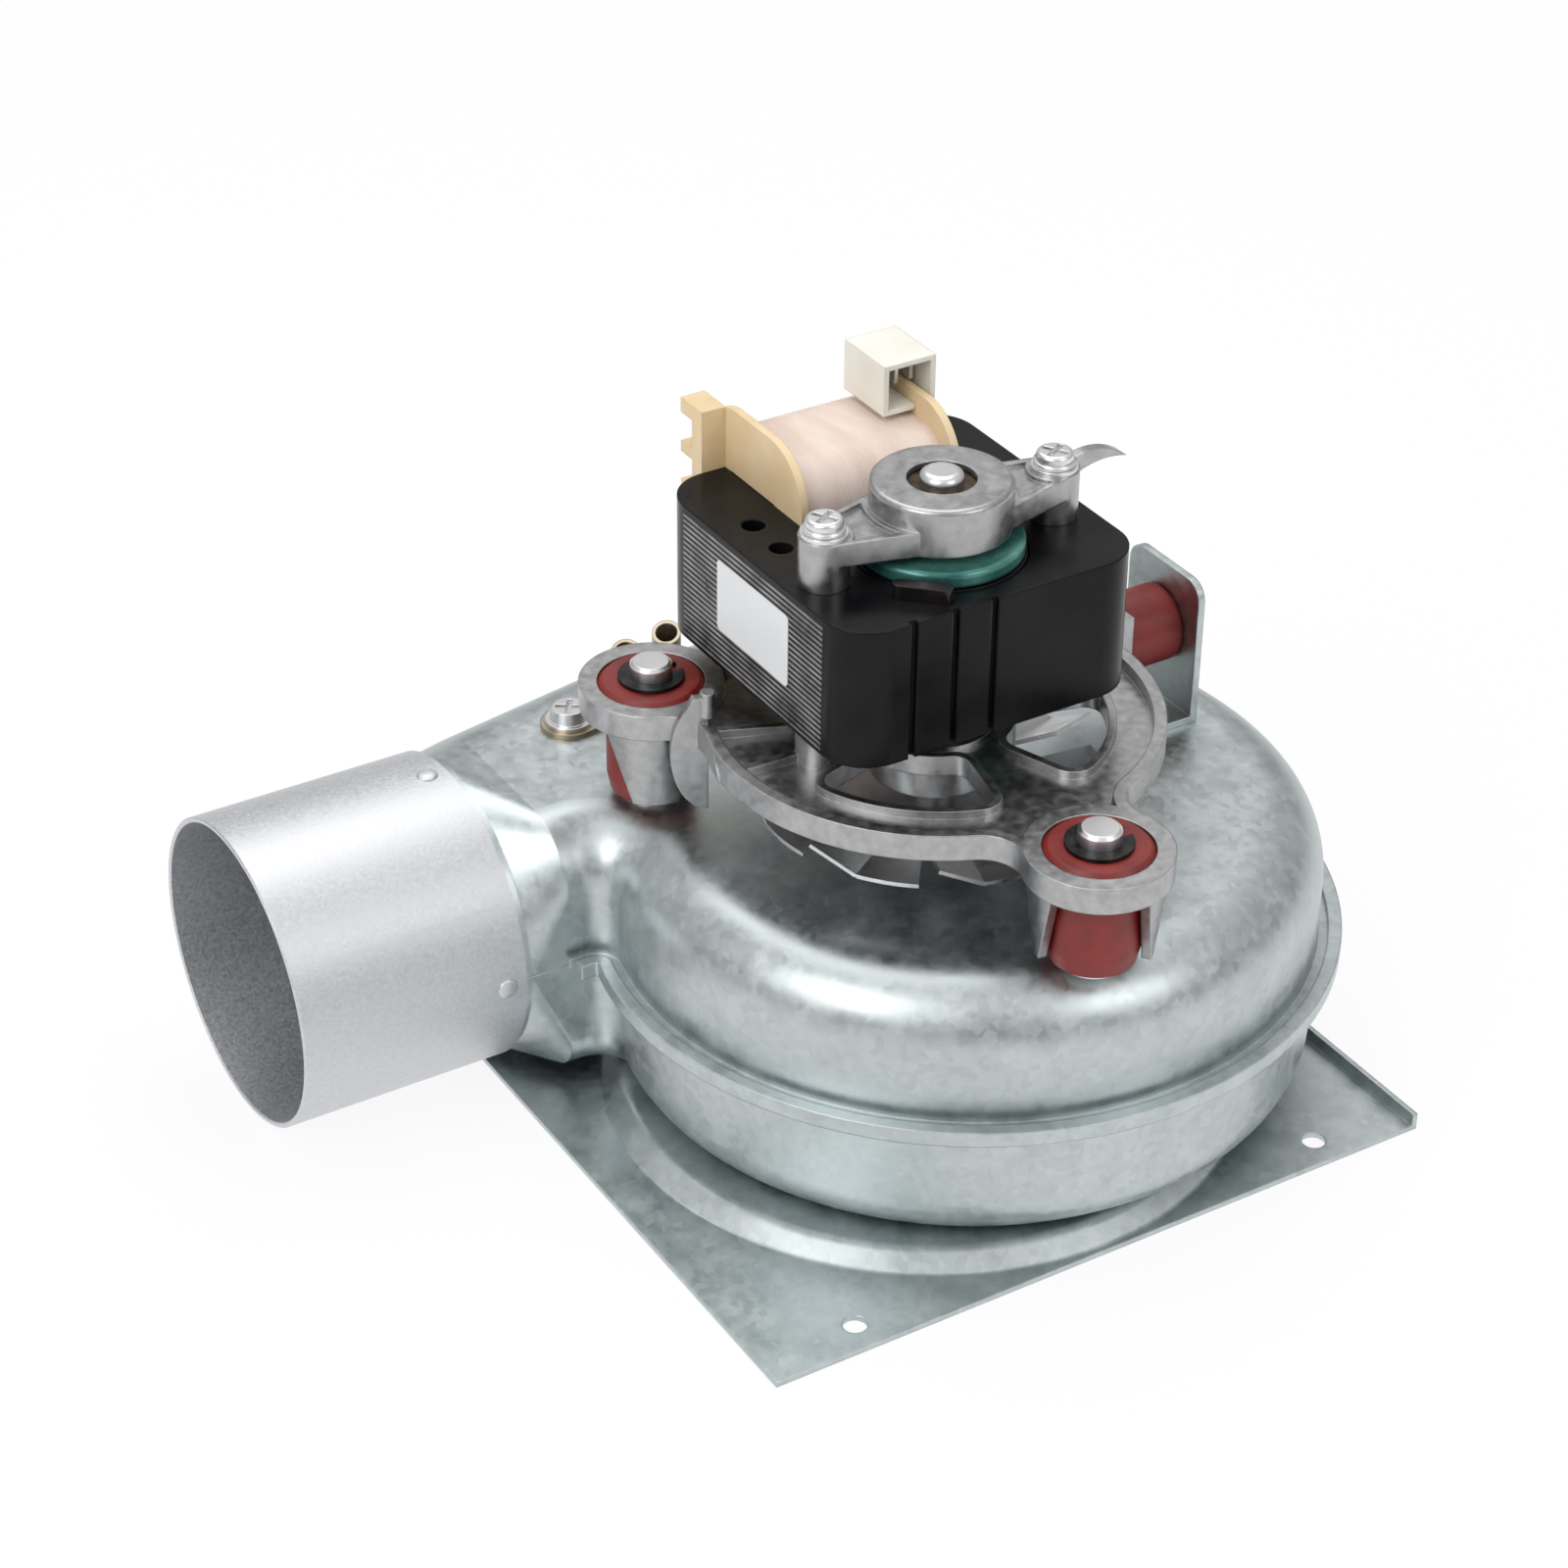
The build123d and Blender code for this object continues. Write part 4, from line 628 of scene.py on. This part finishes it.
winding_low, winding_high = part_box("coil_winding")
turn_tree, turn_in, turn_out = new_tree(
    "winding_turns", Count=30, Pitch=0.001, Depth=0.03, Height=0.04, Corner=0.0095,
    Thickness=0.0005, Unevenness=0.0012, X=0.0, Y=0.0, Z=0.0
)
turn_frame = turn_tree.nodes.new("GeometryNodeCurvePrimitiveQuadrilateral")
turn_corner = turn_tree.nodes.new("GeometryNodeFilletCurve")
turn_corner.mode = "POLY"
turn_corner.inputs["Count"].default_value = 8
turn_wire = turn_tree.nodes.new("GeometryNodeCurvePrimitiveCircle")
turn_wire.inputs["Resolution"].default_value = 8
turn_ring = turn_tree.nodes.new("GeometryNodeCurveToMesh")
turn_stand = turn_tree.nodes.new("GeometryNodeTransform")
turn_stand.inputs["Rotation"].default_value = (radians(90), 0, radians(90))
turn_row = turn_tree.nodes.new("GeometryNodeMeshLine")
turn_step = turn_tree.nodes.new("ShaderNodeCombineXYZ")
turn_start = turn_tree.nodes.new("ShaderNodeCombineXYZ")
turn_copies = turn_tree.nodes.new("GeometryNodeInstanceOnPoints")
turn_most = turn_tree.nodes.new("ShaderNodeMath")
turn_most.operation = "ADD"
turn_most.inputs[1].default_value = 1.0
turn_chance = turn_tree.nodes.new("FunctionNodeRandomValue")
turn_chance.inputs["Seed"].default_value = 7
turn_low = next(s for s in turn_chance.inputs if s.name == "Min" and s.type == "VALUE")
turn_low.default_value = 1.0
turn_high = next(s for s in turn_chance.inputs if s.name == "Max" and s.type == "VALUE")
turn_size = next(s for s in turn_chance.outputs if s.type == "VALUE" and s.enabled)
wire(
    turn_tree,
    (turn_in.outputs["Depth"], turn_frame.inputs["Width"]),
    (turn_in.outputs["Height"], turn_frame.inputs["Height"]),
    (turn_in.outputs["Corner"], turn_corner.inputs["Radius"]),
    (turn_in.outputs["Thickness"], turn_wire.inputs["Radius"]),
    (turn_in.outputs["Count"], turn_row.inputs["Count"]),
    (turn_in.outputs["Pitch"], turn_step.inputs["X"]),
    (turn_in.outputs["X"], turn_start.inputs["X"]),
    (turn_in.outputs["Y"], turn_start.inputs["Y"]),
    (turn_in.outputs["Z"], turn_start.inputs["Z"]),
    (turn_in.outputs["Unevenness"], turn_most.inputs[0]),
    (turn_frame.outputs[0], turn_corner.inputs["Curve"]),
    (turn_corner.outputs[0], turn_ring.inputs["Curve"]),
    (turn_wire.outputs["Curve"], turn_ring.inputs["Profile Curve"]),
    (turn_ring.outputs["Mesh"], turn_stand.inputs["Geometry"]),
    (turn_step.outputs[0], turn_row.inputs["Offset"]),
    (turn_start.outputs[0], turn_row.inputs["Start Location"]),
    (turn_row.outputs["Mesh"], turn_copies.inputs["Points"]),
    (turn_stand.outputs[0], turn_copies.inputs["Instance"]),
    (turn_most.outputs[0], turn_high),
    (turn_size, turn_copies.inputs["Scale"]),
)
close_tree(turn_tree, turn_copies.outputs[0], coil_tape, turn_out)
turn_radius = 0.0005
turn_proud = 0.00006
turn_count = 30
turn_room = winding_high[0] - winding_low[0] - 2 * turn_radius
grow(
    "winding_turns", turn_tree, "housing", "coil_tape",
    Count=turn_count, Pitch=turn_room / (turn_count - 1), Thickness=turn_radius,
    Depth=winding_high[1] - winding_low[1] + 2 * (turn_proud - turn_radius),
    Height=winding_high[2] - winding_low[2] + 2 * (turn_proud - turn_radius),
    X=winding_low[0] + turn_radius, Y=(winding_low[1] + winding_high[1]) / 2,
    Z=(winding_low[2] + winding_high[2]) / 2,
)

# Connector housing
# Moulded in natural nylon, off-white and slightly translucent, and pushed over the
# bobbin's flange, with three tinned pins inside.
natural_nylon = surface("natural_nylon", (0.84, 0.82, 0.74), 0.0, 0.42)
mottle(natural_nylon, 140.0, (0.80, 0.78, 0.69), (0.88, 0.86, 0.79), (0.36, 0.48), 0.06)
soften(natural_nylon, 0.0004)
dress(natural_nylon, "connector_housing")
dress(bright_steel, "connector_pins")

# Rating label
# A silver-white film with rounded corners, cut from a sheet and stuck to the stack's left
# side. It is left bare.
label_film = surface("label_film", (0.74, 0.75, 0.76), 0.0, 0.35)
mottle(label_film, 50.0, (0.72, 0.73, 0.74), (0.78, 0.79, 0.80), (0.30, 0.40), 0.04)
dress(label_film, "rating_label")

# Rotor
# A turned shaft with a laminated core. Its cast end rings carry a teal lacquer, which
# pooled unevenly, and two plain sleeves keep it between the bearings.
dress(bright_steel, "motor_shaft", "spacer_sleeves")
dress(stack_lacquer, "rotor_core")
teal_lacquer = surface("teal_lacquer", (0.10, 0.33, 0.29), 0.4, 0.24)
mottle(teal_lacquer, 130.0, (0.015, 0.10, 0.09), (0.12, 0.34, 0.29), (0.16, 0.30), 0.16)
soften(teal_lacquer, 0.0005)
dress(teal_lacquer, "upper_end_ring", "lower_end_ring")

# Cooling fan
# Stamped from thin bright aluminium, with its tabs folded from the disc, on a small
# die-cast hub.
fan_aluminium = surface("fan_aluminium", (0.70, 0.70, 0.71), 1.0, 0.34)
mottle(fan_aluminium, 300.0, (0.62, 0.62, 0.63), (0.78, 0.78, 0.79), (0.26, 0.42), 0.10)
soften(fan_aluminium, 0.0002)
dress(fan_aluminium, "cooling_fan")
dress(die_cast, "fan_hub")

# Impeller
# Forward-curved blades of galvanised strip between a ring and a back plate, on a die-cast
# hub that a nut clamps against the end of the shaft.
dress(galvanised, "impeller_shroud", "impeller_backplate", "impeller_blades")
dress(die_cast, "impeller_hub")
dress(bright_steel, "impeller_washer", "impeller_nut")

# Upper bridge
# Die-cast like the frame. Two long cross-headed screws hold it to the stack, each over a
# split spring washer and a plain one.
dress(die_cast, "upper_bridge")
dress(bright_steel, "bridge_screws", "bridge_washers")

screw_low, screw_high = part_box("bridge_screws")
plain_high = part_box("bridge_washers")[1]
head_radius = (screw_high[1] - screw_low[1]) / 2
split_tree, split_in, split_out = new_tree(
    "spring_washers", Spacing=0.05, Inner=0.003, Outer=0.004, Thickness=0.0009, Gap=0.3,
    X=0.0, Y=0.0, Z=0.0
)
split_arc = split_tree.nodes.new("GeometryNodeCurveArc")
split_arc.inputs["Resolution"].default_value = 40
split_sweep = split_tree.nodes.new("ShaderNodeMath")
split_sweep.operation = "SUBTRACT"
split_sweep.inputs[0].default_value = radians(360)
split_both = split_tree.nodes.new("ShaderNodeMath")
split_both.operation = "ADD"
split_middle = split_tree.nodes.new("ShaderNodeMath")
split_middle.operation = "MULTIPLY"
split_middle.inputs[1].default_value = 0.5
split_width = split_tree.nodes.new("ShaderNodeMath")
split_width.operation = "SUBTRACT"
split_bar = split_tree.nodes.new("GeometryNodeCurvePrimitiveQuadrilateral")
split_ring = split_tree.nodes.new("GeometryNodeCurveToMesh")
split_ring.inputs["Fill Caps"].default_value = True
split_pair = split_tree.nodes.new("GeometryNodeMeshLine")
split_pair.inputs["Count"].default_value = 2
split_step = split_tree.nodes.new("ShaderNodeCombineXYZ")
split_start = split_tree.nodes.new("ShaderNodeCombineXYZ")
split_copies = split_tree.nodes.new("GeometryNodeInstanceOnPoints")
wire(
    split_tree,
    (split_in.outputs["Gap"], split_sweep.inputs[1]),
    (split_in.outputs["Inner"], split_both.inputs[0]),
    (split_in.outputs["Outer"], split_both.inputs[1]),
    (split_in.outputs["Outer"], split_width.inputs[0]),
    (split_in.outputs["Inner"], split_width.inputs[1]),
    (split_in.outputs["Thickness"], split_bar.inputs["Height"]),
    (split_in.outputs["Spacing"], split_step.inputs["X"]),
    (split_in.outputs["X"], split_start.inputs["X"]),
    (split_in.outputs["Y"], split_start.inputs["Y"]),
    (split_in.outputs["Z"], split_start.inputs["Z"]),
    (split_both.outputs[0], split_middle.inputs[0]),
    (split_middle.outputs[0], split_arc.inputs["Radius"]),
    (split_sweep.outputs[0], split_arc.inputs["Sweep Angle"]),
    (split_width.outputs[0], split_bar.inputs["Width"]),
    (split_arc.outputs[0], split_ring.inputs["Curve"]),
    (split_bar.outputs[0], split_ring.inputs["Profile Curve"]),
    (split_step.outputs[0], split_pair.inputs["Offset"]),
    (split_start.outputs[0], split_pair.inputs["Start Location"]),
    (split_pair.outputs["Mesh"], split_copies.inputs["Points"]),
    (split_ring.outputs["Mesh"], split_copies.inputs["Instance"]),
)
close_tree(split_tree, split_copies.outputs[0], bright_steel, split_out)
washer_rise, washer_inset, washer_overhang = 0.0009, 0.0002, 0.0004
grow(
    "bridge_spring_washers", split_tree, "housing", "bright_steel",
    Spacing=screw_high[0] - screw_low[0] - 2 * head_radius, Inner=head_radius - washer_inset,
    Outer=head_radius + washer_overhang, Thickness=washer_rise, X=screw_low[0] + head_radius,
    Y=(screw_low[1] + screw_high[1]) / 2, Z=plain_high[2] + washer_rise / 2,
)
